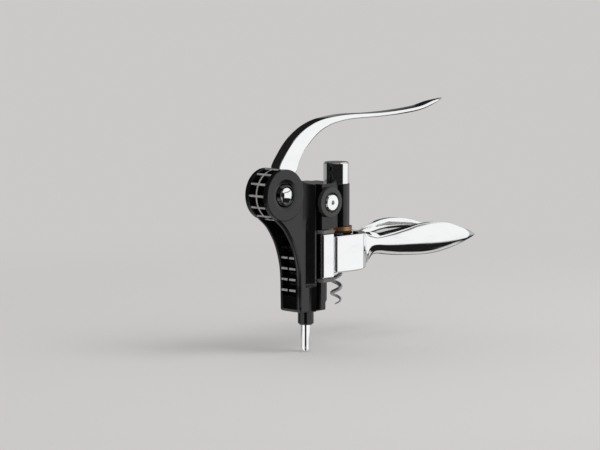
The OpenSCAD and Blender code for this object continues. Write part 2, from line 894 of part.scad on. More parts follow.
module latch_bolt(side) {
    color(chrome)
        on_side(side)
            translate([-ring_x, 0, ring_z])
                difference() {
                    union() {
                        y_rod(bolt_r, block_half_w - bolt_grip + gap, bolt_seat + 0.2);
                        y_cone(bolt_head_r, bolt_head_r - bolt_bevel, bolt_seat, bolt_seat + bolt_rise);
                    }
                    translate([0, bolt_seat + bolt_rise + 0.1, 0])
                        rotate([90, 0, 0])
                            cylinder(r = hex_r, h = hex_depth, $fn = 6);
                }
}

module latch_bolt_left() {
    latch_bolt(LEFT);
}

module latch_bolt_right() {
    latch_bolt(RIGHT);
}

// Grip seen from above, for the left side
grip_outer = smooth([
    [grip_root_x - 3, 14.6], [grip_root_x + 2, 12.9], [grip_root_x + 8, 13.4], [grip_root_x + 20, 16],
    [grip_root_x + 34, 19.2], [grip_root_x + 56, grip_swell], [grip_reach - 39, grip_swell - 0.1],
    [grip_reach - 21, 20.2], [grip_reach - 7, 16.6], [grip_reach, 13.4]
], 3);
grip_inner = smooth([
    [grip_root_x - 3, 8], [grip_root_x + 2, 12.9 - grip_t], [grip_root_x + 8, 13.6 - grip_t],
    [grip_root_x + 20, 16 - grip_t], [grip_root_x + 34, 19.2 - grip_t],
    [grip_root_x + 56, grip_swell - grip_t], [grip_reach - 39, grip_swell - 0.1 - grip_t],
    [grip_reach - 21, 20.2 - grip_t], [grip_reach - 7, 13.4], [grip_reach - 1, 12]
], 3);

// Grip seen from the side: upper and lower edges
grip_upper = smooth([
    [grip_root_x - 4, -jaw_drop], [grip_root_x, -jaw_drop - 0.7], [grip_root_x + 4, -2.9],
    [grip_root_x + 11, -4.5], [grip_root_x + 17, -3.9], [grip_root_x + 35, -0.4],
    [grip_root_x + 45, 1.9], [grip_root_x + 56, 2.6], [grip_reach - 43, 2], [grip_reach - 31, -0.7],
    [grip_reach - 17, -4.8], [grip_reach - 7, -8], [grip_reach, -10.5]
], 3);
grip_lower = smooth([
    [grip_root_x - 4, lower_jaw + 0.6], [grip_root_x + 1.5, lower_jaw + 1.4],
    [grip_root_x + 4.5, lower_jaw + 3], [grip_root_x + 8, -19.4], [grip_root_x + 10.8, -17.2],
    [grip_root_x + 20, -17.9], [grip_root_x + 37, -19.3], [grip_root_x + 53, -20],
    [grip_reach - 43, -18.7], [grip_reach - 24, -15.3], [grip_reach - 12, -13], [grip_reach, -11]
], 3);

module jaw_outline(inner_r) {
    difference() {
        union() {
            translate([jaw_back_x, jaw_tail_y])
                square([jaw_round_x - jaw_back_x, jaw_half_w - jaw_tail_y]);
            intersection() {
                translate([jaw_round_x, 0])
                    circle(jaw_half_w);
                translate([0, jaw_gap])
                    square(2 * jaw_half_w);
            }
        }
        circle(inner_r);
    }
}

module grip(side) {
    color(chrome)
        on_side(side)
            difference() {
                union() {
                    // Jaw round the neck
                    translate([0, 0, lower_jaw])
                        linear_extrude(jaw_h)
                            jaw_outline(neck_r + pad_t);
                    // Handle
                    intersection() {
                        from_side(0, jaw_half_w + 10)
                            polygon(concat(grip_upper, reversed(grip_lower)));
                        translate([0, 0, -60])
                            linear_extrude(80)
                                polygon(concat(grip_outer, reversed(grip_inner)));
                    }
                    // Knuckle between the ears, and its neck to the jaw
                    translate([-hinge_x, hinge_y, 0])
                        z_rod(knuckle_r, knuckle_low, knuckle_top);
                    translate([-hinge_x - 5.5, hinge_y, knuckle_low])
                        cube([11, jaw_half_w - 0.5 - hinge_y, knuckle_top - knuckle_low]);
                    translate([-hinge_x + 5, hinge_y - 1.4, lower_jaw])
                        cube([jaw_back_x + hinge_x - 4, jaw_half_w - neck_recess - hinge_y + 1.4, jaw_h]);
                }
                translate([-hinge_x, hinge_y, 0])
                    z_rod(pin_r + run_fit, knuckle_low - 1, knuckle_top + 1);
            }
}

module grip_left() {
    grip(LEFT);
}

module grip_right() {
    grip(RIGHT);
}

module jaw_pad(side) {
    color(rubber)
        on_side(side)
            translate([0, 0, lower_jaw])
                linear_extrude(jaw_h)
                    difference() {
                        intersection() {
                            circle(neck_r + pad_t);
                            translate([jaw_back_x, jaw_tail_y])
                                square([-jaw_back_x, jaw_half_w]);
                        }
                        circle(neck_r);
                    }
}

module jaw_pad_left() {
    jaw_pad(LEFT);
}

module jaw_pad_right() {
    jaw_pad(RIGHT);
}

side_plate_left();
side_plate_right();
frame_spine();
rod_collar();
frame_screws();
nut_plate();
drive_nut();
rim_seat();
nut_screws();
hub_axle();
axle_cap_left();
axle_cap_right();
hinge_pin_left();
hinge_pin_right();
lever();
drive_gear();
gear_bush();
lever_pins();
carriage();
rack();
rack_pins();
guide_rod();
top_sleeve();
thrust_washers();
boss_ring_left();
boss_ring_right();
latch_bolt_left();
latch_bolt_right();
worm();
grip_left();
grip_right();
jaw_pad_left();
jaw_pad_right();
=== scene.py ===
"""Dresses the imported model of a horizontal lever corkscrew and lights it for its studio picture.

Sizes are in millimetres inside the makers and in metres once a mesh becomes an object. X points
to the grips' tips, Y to the left and Z up. The origin is on the worm's axis, at the underside of
the rim ring.
"""

from __future__ import annotations

import logging
import math
from dataclasses import dataclass
from enum import Enum
from typing import Callable, Sequence

import bmesh
import bpy
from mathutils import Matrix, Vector
from mathutils.geometry import tessellate_polygon

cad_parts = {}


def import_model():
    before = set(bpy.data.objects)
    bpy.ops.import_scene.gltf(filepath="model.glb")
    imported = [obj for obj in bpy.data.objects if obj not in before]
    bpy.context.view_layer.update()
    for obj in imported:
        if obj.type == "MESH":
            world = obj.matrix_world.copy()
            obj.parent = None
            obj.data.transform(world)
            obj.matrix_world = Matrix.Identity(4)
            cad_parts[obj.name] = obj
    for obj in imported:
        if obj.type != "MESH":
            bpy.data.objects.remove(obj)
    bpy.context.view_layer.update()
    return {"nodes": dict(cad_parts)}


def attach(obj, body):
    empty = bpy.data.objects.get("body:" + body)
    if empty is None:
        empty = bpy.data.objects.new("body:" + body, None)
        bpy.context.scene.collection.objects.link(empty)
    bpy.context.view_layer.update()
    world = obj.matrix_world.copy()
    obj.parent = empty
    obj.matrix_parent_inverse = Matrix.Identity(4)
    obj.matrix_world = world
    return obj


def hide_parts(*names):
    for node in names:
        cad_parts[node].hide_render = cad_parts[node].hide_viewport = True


LOG = logging.getLogger("corkscrew")
MM = 0.001

Flat = tuple[float, float]
Point = tuple[float, float, float]
Colour = tuple[float, float, float]
Placing = Callable[[float, float, float], Point]

# The gear's axle, seen from the side, and the left grip's pin, seen from above
AXLE: Flat = (-59.575, 30.0)
HINGE: Flat = (-24.5, 13.5)
WHITE: tuple[float, float, float, float] = (1.0, 1.0, 1.0, 1.0)


class Body(Enum):
    """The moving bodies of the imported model."""

    FRAME = "frame"
    LEVER = "lever_unit"
    CARRIAGE = "carriage_unit"
    WORM = "worm_unit"
    LEFT = "left_grip_unit"
    RIGHT = "right_grip_unit"


class Side(Enum):
    """The two sides of the tool, as the sign of Y."""

    LEFT = 1
    RIGHT = -1

    @property
    def word(self) -> str:
        """The side's name in lower case."""
        return self.name.lower()


class Signal:
    """A socket's value that takes part in shader sums."""

    def __init__(self, graph: "Graph", socket: bpy.types.NodeSocket) -> None:
        """Keeps the socket and the graph that it belongs to."""
        self.graph = graph
        self.socket = socket

    def _sum(self, operation: str, first: object, second: object) -> "Signal":
        """Adds one Math node.

        Args:
            operation: The Math node's operation.
            first: A number or a signal.
            second: A number or a signal.

        Returns:
            The node's result.
        """
        return self.graph.add("ShaderNodeMath", {"operation": operation}, {0: first, 1: second})[0]

    def __add__(self, other: object) -> "Signal":
        """Sum."""
        return self._sum("ADD", self, other)

    __radd__ = __add__

    def __sub__(self, other: object) -> "Signal":
        """Difference."""
        return self._sum("SUBTRACT", self, other)

    def __rsub__(self, other: object) -> "Signal":
        """Difference from a number."""
        return self._sum("SUBTRACT", other, self)

    def __mul__(self, other: object) -> "Signal":
        """Product."""
        return self._sum("MULTIPLY", self, other)

    __rmul__ = __mul__

    def __truediv__(self, other: object) -> "Signal":
        """Quotient."""
        return self._sum("DIVIDE", self, other)

    def __pow__(self, other: object) -> "Signal":
        """Power."""
        return self._sum("POWER", self, other)

    def most(self, other: object) -> "Signal":
        """The larger of the two."""
        return self._sum("MAXIMUM", self, other)

    def hypot(self, other: "Signal") -> "Signal":
        """The diagonal over this value and another."""
        return (self * self + other * other) ** 0.5

    def step(self, low: float, high: float) -> "Signal":
        """A smooth step.

        Args:
            low: Where the step starts from 0.
            high: Where it reaches 1.

        Returns:
            A value from 0 to 1.
        """
        settings = {"interpolation_type": "SMOOTHSTEP"}
        sockets = {0: self, 1: low, 2: high, 3: 0.0, 4: 1.0}
        return self.graph.add("ShaderNodeMapRange", settings, sockets)[0]


class Graph:
    """A node tree and the one way in which nodes are added to it."""

    def __init__(self, tree: bpy.types.NodeTree) -> None:
        """Empties the tree."""
        self.tree = tree
        tree.nodes.clear()

    def add(self, kind: str, settings: dict, inputs: dict) -> "Outputs":
        """Adds a node.

        Args:
            kind: The node's type.
            settings: Its settings, set before its sockets.
            inputs: Values or signals of its sockets, by name or number.

        Returns:
            The node's outputs.
        """
        node = self.tree.nodes.new(kind)
        for key, value in settings.items():
            if key == "stops":
                self._ramp(node, value)
            else:
                setattr(node, key, value)
        for key, value in inputs.items():
            if isinstance(value, Signal):
                self.tree.links.new(value.socket, node.inputs[key])
            else:
                node.inputs[key].default_value = value
        return Outputs(self, node)

    @staticmethod
    def _ramp(node: bpy.types.Node, stops: Sequence[tuple[float, Colour]]) -> None:
        """Sets a colour ramp's stops.

        Args:
            node: The ramp.
            stops: Places from 0 to 1 with their colours.
        """
        elements = node.color_ramp.elements
        while len(elements) < len(stops):
            elements.new(0.5)
        for element, (place, colour) in zip(elements, stops):
            element.position = place
            element.color = (*colour, 1.0)

    def vector(self, operation: str, *inputs: object) -> "Outputs":
        """Adds a Vector Math node.

        Args:
            operation: The node's operation.
            inputs: Vectors or signals of its sockets, in order.

        Returns:
            The node's outputs.
        """
        return self.add("ShaderNodeVectorMath", {"operation": operation}, dict(enumerate(inputs)))

    def split(self, vector: Signal) -> tuple[Signal, Signal, Signal]:
        """The three parts of a vector."""
        parts = self.add("ShaderNodeSeparateXYZ", {}, {0: vector})
        return parts[0], parts[1], parts[2]

    def place(self) -> Signal:
        """The object's own coordinates, in metres."""
        return self.add("ShaderNodeTexCoord", {}, {})["Object"]

    def stretched(self, x: float, y: float, z: float) -> Signal:
        """The object's coordinates, stretched.

        Args:
            x: Factor along X.
            y: Factor along Y.
            z: Factor along Z.

        Returns:
            The coordinates.
        """
        return self.vector("MULTIPLY", self.place(), (x, y, z))[0]

    def noise(self, where: Signal, scale: float, detail: float = 2.0, rough: float = 0.5) -> Signal:
        """A noise value.

        Args:
            where: The coordinates.
            scale: Bumps per metre.
            detail: Octaves.
            rough: How much the finer octaves count.

        Returns:
            A value from 0 to 1.
        """
        sockets = {"Vector": where, "Scale": scale, "Detail": detail, "Roughness": rough}
        return self.add("ShaderNodeTexNoise", {}, sockets)["Fac"]

    def blend(self, share: object, first: object, second: object) -> Signal:
        """Mixes two colours.

        Args:
            share: 0 for the first, 1 for the second.
            first: A colour or a signal.
            second: A colour or a signal.

        Returns:
            The mixed colour.
        """
        pair = [c if isinstance(c, Signal) else (*c, 1.0) for c in (first, second)]
        sockets = {"Factor": share, 6: pair[0], 7: pair[1]}
        return self.add("ShaderNodeMix", {"data_type": "RGBA"}, sockets)[2]

    def bump(self, height: Signal, depth: float) -> Signal:
        """A bumped normal.

        Args:
            height: The height, from 0 to 1.
            depth: What a height of 1 stands for, in metres.

        Returns:
            The normal.
        """
        sockets = {"Height": height, "Distance": depth}
        return self.add("ShaderNodeBump", {}, sockets)[0]

    def edges(self, radius: float) -> Signal:
        """A mask of the piece's edges.

        Args:
            radius: How far an edge reaches, in metres.

        Returns:
            0 on flat faces, towards 1 at an edge.
        """
        soft = self.add("ShaderNodeBevel", {"samples": 4}, {"Radius": radius})[0]
        true = self.add("ShaderNodeNewGeometry", {}, {})["Normal"]
        return (1 - self.vector("DOT_PRODUCT", soft, true)["Value"]).step(0.02, 0.25)

    def cover(self, share: Signal, first: Signal, second: Signal) -> Signal:
        """Mixes two shaders.

        Args:
            share: 0 for the first, 1 for the second.
            first: A shader.
            second: A shader.

        Returns:
            The mixed shader.
        """
        return self.add("ShaderNodeMixShader", {}, {0: share, 1: first, 2: second})[0]

    def surface(self, **sockets: object) -> None:
        """Ends a material in a Principled shader.

        Args:
            sockets: The shader's sockets, with _ for a space.
        """
        named = {key.replace("_", " "): value for key, value in sockets.items()}
        shader = self.add("ShaderNodeBsdfPrincipled", {}, named)["BSDF"]
        self.add("ShaderNodeOutputMaterial", {}, {"Surface": shader})


class Outputs:
    """The outputs of a node, by name or number."""

    def __init__(self, graph: Graph, node: bpy.types.Node) -> None:
        """Keeps the node."""
        self.graph = graph
        self.node = node

    def __getitem__(self, key: object) -> Signal:
        """One output."""
        return Signal(self.graph, self.node.outputs[key])


@dataclass(frozen=True)
class Finish:
    """What all finishes share."""

    name: str
    colour: Colour

    def material(self) -> bpy.types.Material:
        """Makes the material, or finds it if it is there.

        Returns:
            The material.
        """
        found = bpy.data.materials.get(self.name)
        if found is None:
            found = bpy.data.materials.new(self.name)
            found.use_nodes = True
            found.diffuse_color = (*self.colour, 1.0)
            self.dress(Graph(found.node_tree))
        return found

    def dress(self, graph: Graph) -> None:
        """Builds the nodes.

        Args:
            graph: The material's empty tree.
        """
        raise NotImplementedError


@dataclass(frozen=True)
class Enamel(Finish):
    """Black coating over a casting or moulding: satin, with a fine skin and paler edges."""

    rough: float = 0.3
    grain: float = 2600.0
    grain_depth: float = 0.000004
    wear_and_highlight_tint: Colour = (0.05, 0.05, 0.052)
    wear_share: float = 0.5

    def dress(self, graph: Graph) -> None:
        """Builds the nodes.

        Args:
            graph: The material's empty tree.
        """
        place = graph.place()
        cloud = graph.noise(place, 90.0, 3.0)
        skin = graph.noise(place, self.grain, 2.0)
        wear_and_highlight = self.wear_and_highlight(graph, place, cloud)
        darker, paler = (tuple(c * gain for c in self.colour) for gain in (0.8, 1.25))
        graph.surface(
            Base_Color=graph.blend(wear_and_highlight, graph.blend(cloud, darker, paler), self.wear_and_highlight_tint),
            Roughness=self.rough + (cloud - 0.5) * 0.1 + (skin - 0.5) * 0.06,
            Normal=graph.bump(skin, self.grain_depth),
        )

    def wear_and_highlight(self, graph: Graph, place: Signal, cloud: Signal) -> Signal:
        """Share of the paler coat: patches along the edges.

        Args:
            graph: The material's tree.
            place: The place on the tool.
            cloud: Soft patches.

        Returns:
            A mask from 0 to 1.
        """
        return graph.edges(0.0005) * cloud.step(0.35, 0.7) * self.wear_share


@dataclass(frozen=True)
class CrestedEnamel(Enamel):
    """The side plates' enamel, with a painted highlight: a paler line along the crest behind the hinge.
    """

    crest: float = -33.3
    crest_out: float = 11.6
    crest_span: Flat = (-31.8, 4.5)

    def wear_and_highlight(self, graph: Graph, place: Signal, cloud: Signal) -> Signal:
        """Share of the paler coat: scuffed patches along the edges, and a painted highlight along the
        crest.

        Args:
            graph: The material's tree.
            place: The place on the tool.
            cloud: Soft patches.

        Returns:
            A mask from 0 to 1.
        """
        x, y, z = graph.split(place)
        low, high = self.crest_span
        # Painted highlight: a paler line along the crest, standing in for light caught by the rounded
        # edge.
        line = x.step(self.crest * MM, (self.crest + 0.15) * MM)
        line = line * ((y * y) ** 0.5).step((self.crest_out - 0.1) * MM, self.crest_out * MM)
        line = line * z.step(low * MM, (low + 0.2) * MM) * (1 - z.step((high - 0.2) * MM, high * MM))
        return (line * (1 - cloud * 0.4)).most(super().wear_and_highlight(graph, place, cloud))


@dataclass(frozen=True)
class Chrome(Finish):
    """Polished chrome plate with faint wipe marks and hairlines."""

    rough: float = 0.05
    hairline: float = 0.05

    def dress(self, graph: Graph) -> None:
        """Builds the nodes.

        Args:
            graph: The material's empty tree.
        """
        place = graph.place()
        smear = graph.noise(graph.stretched(1.0, 2.2, 2.8), 45.0, 3.0, 0.6).step(0.45, 0.75)
        lines = graph.noise(graph.stretched(60.0, 700.0, 900.0), 3.0, 2.0).step(0.62, 0.78)
        wave = graph.noise(place, 30.0, 1.0)
        graph.surface(
            Base_Color=self.tint(graph, place, smear),
            Metallic=1.0,
            Roughness=self.rough + smear * 0.04 + lines * self.hairline,
            Normal=graph.bump(wave, 0.00002),
        )

    def tint(self, graph: Graph, place: Signal, smear: Signal) -> Signal:
        """The plate's colour.

        Args:
            graph: The material's tree.
            place: The place on the tool.
            smear: Share of the wipe marks.

        Returns:
            The colour.
        """
        return graph.blend(smear, self.colour, tuple(c * 0.95 for c in self.colour))


@dataclass(frozen=True)
class CapChrome(Chrome):
    """The axle caps' chrome: a bright button inside a collar whose colour is darkened, painted shade
    that dims its reflections.
    """

    button: float = 5.3
    # The collar's darkened colour is painted shade.
    collar: Colour = (0.07, 0.07, 0.073)

    def tint(self, graph: Graph, place: Signal, smear: Signal) -> Signal:
        """The plate's colour, darkened past the button as painted shade.

        Args:
            graph: The material's tree.
            place: The place on the tool.
            smear: Share of the wipe marks.

        Returns:
            The colour.
        """
        x, _, z = graph.split(place)
        far = (x - AXLE[0] * MM).hypot(z - AXLE[1] * MM)
        outside = far.step((self.button - 0.05) * MM, (self.button + 0.05) * MM)
        # Painted shade on the collar past the button.
        return graph.blend(outside, super().tint(graph, place, smear), self.collar)


@dataclass(frozen=True)
class Steel(Finish):
    """Ground steel: fine parallel tool marks and a thin film of oil in patches."""

    rough: float = 0.28
    marks: Point = (150.0, 6000.0, 150.0)
    stain: Colour = (0.28, 0.26, 0.24)

    def skin(self, graph: Graph) -> tuple[Signal, Signal]:
        """The tool marks and the film of oil.

        Args:
            graph: The material's tree.

        Returns:
            Both, from 0 to 1.
        """
        marks = graph.noise(graph.stretched(*self.marks), 1.0, 3.0, 0.6)
        return marks, graph.noise(graph.place(), 160.0, 3.0, 0.6).step(0.45, 0.8)

    def dress(self, graph: Graph) -> None:
        """Builds the nodes.

        Args:
            graph: The material's empty tree.
        """
        marks, film = self.skin(graph)
        graph.surface(
            Base_Color=graph.blend(film * 0.5, self.colour, self.stain),
            Metallic=1.0,
            Roughness=self.rough + (marks - 0.5) * 0.2 + film * 0.12,
            Normal=graph.bump(marks, 0.00001),
        )


@dataclass(frozen=True)
class Toothed(Steel):
    """Blackened steel whose tooth tips are bright: partly bare steel scuffed bright, partly a painted
    highlight.
    """

    brightened: Colour = (0.5, 0.495, 0.485)
    worn_rough: float = 0.3

    def tip(self, x: Signal, z: Signal) -> Signal:
        """Share of the bright tips.

        Args:
            x: The place forward, in metres.
            z: The height, in metres.

        Returns:
            A mask from 0 to 1.
        """
        raise NotImplementedError

    def dress(self, graph: Graph) -> None:
        """Builds the nodes.

        Args:
            graph: The material's empty tree.
        """
        marks, film = self.skin(graph)
        x, _, z = graph.split(graph.place())
        # The bright tips and edges are partly scuffed steel and partly a painted highlight.
        wear_and_highlight = self.tip(x, z).most(graph.edges(0.0004) * 0.35) * (1 - film * 0.3)
        graph.surface(
            Base_Color=graph.blend(wear_and_highlight, graph.blend(film, self.colour, self.stain), self.brightened),
            Metallic=1 - wear_and_highlight * 0.75,
            Roughness=self.rough + (marks - 0.5) * 0.2 + wear_and_highlight * (self.worn_rough - self.rough),
            Normal=graph.bump(marks, 0.00001),
        )


@dataclass(frozen=True)
class GearSteel(Toothed):
    """Gear: everything past a radius from the axle is bright, as scuffed steel with a painted
    highlight.
    """

    reach: float = 16.95

    def tip(self, x: Signal, z: Signal) -> Signal:
        """Share of the bright tips, by the distance from the axle.

        Args:
            x: The place forward, in metres.
            z: The height, in metres.

        Returns:
            A mask from 0 to 1.
        """
        far = (x - AXLE[0] * MM).hypot(z - AXLE[1] * MM)
        return far.step(self.reach * MM, (self.reach + 0.15) * MM)


@dataclass(frozen=True)
class RackSteel(Toothed):
    """Rack: everything behind a plane is bright, and painted shade keeps the upper teeth dark."""

    back: float = -46.15
    # Height band where the painted shade on the upper teeth begins.
    painted_shade_from: Flat = (-14.0, -10.0)

    def tip(self, x: Signal, z: Signal) -> Signal:
        """Share of the bright tips, by the distance back, with painted shade over the upper teeth.

        Args:
            x: The place forward, in metres.
            z: The height, in metres.

        Returns:
            A mask from 0 to 1.
        """
        # Painted shade: teeth above this height keep the dark colour.
        unshaded = 1 - z.step(self.painted_shade_from[0] * MM, self.painted_shade_from[1] * MM)
        return unshaded * (1 - x.step((self.back - 0.15) * MM, self.back * MM))


@dataclass(frozen=True)
class Bronze(Finish):
    """Bronze with a turned skin, darker where hands don't rub it."""

    rough: float = 0.3
    tarnish: Colour = (0.16, 0.075, 0.03)

    def dress(self, graph: Graph) -> None:
        """Builds the nodes.

        Args:
            graph: The material's empty tree.
        """
        cloud = graph.noise(graph.place(), 120.0, 4.0, 0.6)
        turned = graph.noise(graph.stretched(400.0, 400.0, 7000.0), 1.0, 2.0)
        brightened = graph.edges(0.0006) * 0.6
        dull = (cloud.step(0.4, 0.75) * 0.7) * (1 - brightened)
        graph.surface(
            Base_Color=graph.blend(dull, self.colour, self.tarnish),
            Metallic=1.0,
            Roughness=self.rough + dull * 0.18 + (turned - 0.5) * 0.1,
            Normal=graph.bump(turned, 0.00001),
        )


@dataclass(frozen=True)
class Rubber(Finish):
    """Soft black rubber: dull, with a pebbled skin and a dusty bloom."""

    rough: float = 0.72
    bloom: Colour = (0.06, 0.06, 0.062)

    def dress(self, graph: Graph) -> None:
        """Builds the nodes.

        Args:
            graph: The material's empty tree.
        """
        place = graph.place()
        pebble = graph.noise(place, 3200.0, 2.0)
        dust = graph.noise(place, 220.0, 4.0, 0.65).step(0.5, 0.8)
        graph.surface(
            Base_Color=graph.blend(dust * 0.6, self.colour, self.bloom),
            Roughness=self.rough + dust * 0.12,
            Normal=graph.bump(pebble, 0.00004),
        )


class Finishes(Enum):
    """The finishes of the tool's pieces."""

    # The body's paler tint serves the scuffed edges and the painted highlight along the crest.
    BODY = CrestedEnamel(
        "body_enamel", (0.005, 0.005, 0.0055), rough=0.13, wear_and_highlight_tint=(0.15, 0.15, 0.15), wear_share=0.16
    )
    GLOSS = Enamel("gloss_enamel", (0.003, 0.003, 0.0035), rough=0.1, grain_depth=0.000003)
    CARRIAGE = Enamel("carriage_enamel", (0.004, 0.004, 0.0045), rough=0.13)
    RING = Enamel("ring_enamel", (0.035, 0.034, 0.033), rough=0.26, wear_and_highlight_tint=(0.12, 0.12, 0.12))
    CHROME = Chrome("polished_chrome", (0.9, 0.905, 0.91))
    # The cap's collar carries painted shade.
    CAP = CapChrome("cap_chrome", (0.9, 0.905, 0.91))
    SLEEVE = Chrome("sleeve_chrome", (0.88, 0.885, 0.89), rough=0.07)
    # Bright tooth tips: partly scuffed steel, partly a painted highlight.
    GEAR = GearSteel("gear_steel", (0.05, 0.05, 0.052), rough=0.32, stain=(0.02, 0.019, 0.018))
    # The rack's upper teeth carry painted shade.
    RACK = RackSteel("rack_steel", (0.05, 0.05, 0.052), rough=0.32, stain=(0.02, 0.019, 0.018))
    PIN = Steel("pin_steel", (0.5, 0.5, 0.5), rough=0.22, marks=(4000.0, 4000.0, 200.0))
    WORM = Steel("worm_steel", (0.6, 0.6, 0.61), rough=0.2, marks=(900.0, 900.0, 900.0))
    BRONZE = Bronze("rim_bronze", (0.5, 0.27, 0.13), rough=0.36)
    BUSH = Bronze("bush_bronze", (0.62, 0.38, 0.16), rough=0.25)
    RUBBER = Rubber("soft_rubber", (0.018, 0.018, 0.019))


def eased(value: float, low: float, high: float) -> float:
    """A smooth step.

    Args:
        value: Where it is read.
        low: Where it starts from 0.
        high: Where it reaches 1.

    Returns:
        A share from 0 to 1.
    """
    share = held((value - low) / (high - low))
    return share * share * (3 - 2 * share)


def held(value: float) -> float:
    """The value, held between 0 and 1."""
    return min(1.0, max(0.0, value))


def shares(count: int, first: int = 0) -> list[float]:
    """Even steps up to 1.

    Args:
        count: How many steps lead from 0 to 1.
        first: The step that the list starts with.

    Returns:
        The steps.
    """
    return [k / count for k in range(first, count + 1)]


class Line:
    """A smooth curve y(x) through points."""

    def __init__(self, points: Sequence[Flat]) -> None:
        """Works out the slopes.

        Args:
            points: The points, with rising x.
        """
        self.points = list(points)
        n = len(self.points)
        self.slopes = []
        for i in range(n):
            (xa, ya), (xb, yb) = self.points[max(0, i - 1)], self.points[min(n - 1, i + 1)]
            self.slopes.append((yb - ya) / (xb - xa))

    def at(self, x: float) -> float:
        """The curve's height.

        Args:
            x: The place along the curve.

        Returns:
            The height there, held level past the ends.
        """
        pts = self.points
        if x <= pts[0][0]:
            return pts[0][1]
        if x >= pts[-1][0]:
            return pts[-1][1]
        i = max(k for k in range(len(pts) - 1) if pts[k][0] <= x)
        (xa, ya), (xb, yb) = pts[i], pts[i + 1]
        w = xb - xa
        t = (x - xa) / w
        a, b = self.slopes[i] * w, self.slopes[i + 1] * w
        return (
            ya * (2 * t**3 - 3 * t**2 + 1) + a * (t**3 - 2 * t**2 + t)
            + yb * (3 * t**2 - 2 * t**3) + b * (t**3 - t**2)
        )


def through(points: Sequence[Flat], count: int) -> list[Flat]:
    """A smooth curve through points of a plane.

    Args:
        points: The points in order.
        count: How many points the result has, evenly spaced along it.

    Returns:
        The points of the curve.
    """
    length = [0.0]
    for (xa, ya), (xb, yb) in zip(points, points[1:]):
        length.append(length[-1] + math.hypot(xb - xa, yb - ya))
    across = Line([(s, p[0]) for s, p in zip(length, points)])
    up = Line([(s, p[1]) for s, p in zip(length, points)])
    steps = [length[-1] * i / (count - 1) for i in range(count)]
    return [(across.at(s), up.at(s)) for s in steps]


def rounded(corners: Sequence[Point], closed: bool = True, steps: int = 6) -> list[Flat]:
    """A polygon with rounded corners.

    Args:
        corners: The corners, each with its radius.
        closed: Whether the last corner joins the first.
        steps: Points per rounded corner, less one.

    Returns:
        The outline's points.
    """
    out: list[Flat] = []
    n = len(corners)
    for i, (x, y, r) in enumerate(corners):
        if r <= 0 or (not closed and i in (0, n - 1)):
            out.append((x, y))
            continue
        here = Vector((x, y))
        back = (Vector(corners[i - 1][:2]) - here).normalized()
        ahead = (Vector(corners[(i + 1) % n][:2]) - here).normalized()
        half = back.angle(ahead) / 2
        if half > math.pi / 2 - 0.01:
            out.append((x, y))
            continue
        middle = here + (back + ahead).normalized() * (r / math.sin(half))
        start = here + back * (r / math.tan(half)) - middle
        end = here + ahead * (r / math.tan(half)) - middle
        turn = start.angle_signed(end)
        for k in range(steps + 1):
            a = -turn * k / steps
            c, s = math.cos(a), math.sin(a)
            out.append((middle.x + start.x * c - start.y * s, middle.y + start.x * s + start.y * c))
    return out


def arc(cx: float, cy: float, radius: float, start: float, end: float, steps: int) -> list[Flat]:
    """Points on an arc.

    Args:
        cx: The centre's first coordinate.
        cy: The centre's second coordinate.
        radius: The radius.
        start: The first angle, in degrees.
        end: The last angle, in degrees.
        steps: Points, less one.

    Returns:
        The points.
    """
    turns = [math.radians(start + (end - start) * t) for t in shares(steps)]
    return [(cx + radius * math.cos(t), cy + radius * math.sin(t)) for t in turns]


def inset(loop: Sequence[Flat], depths: Sequence[float]) -> list[Flat]:
    """Moves a loop's points to its left-hand side.

    Args:
        loop: The loop.
        depths: How far each point moves.

    Returns:
        The moved points.
    """
    out = []
    n = len(loop)
    for i, (x, y) in enumerate(loop):
        before = Vector((x - loop[i - 1][0], y - loop[i - 1][1])).normalized()
        after = Vector((loop[(i + 1) % n][0] - x, loop[(i + 1) % n][1] - y)).normalized()
        left = Vector((-before.y - after.y, before.x + after.x)).normalized()
        lean = max(0.5, left.dot(Vector((-before.y, before.x))))
        out.append((x + left.x * depths[i] / lean, y + left.y * depths[i] / lean))
    return out


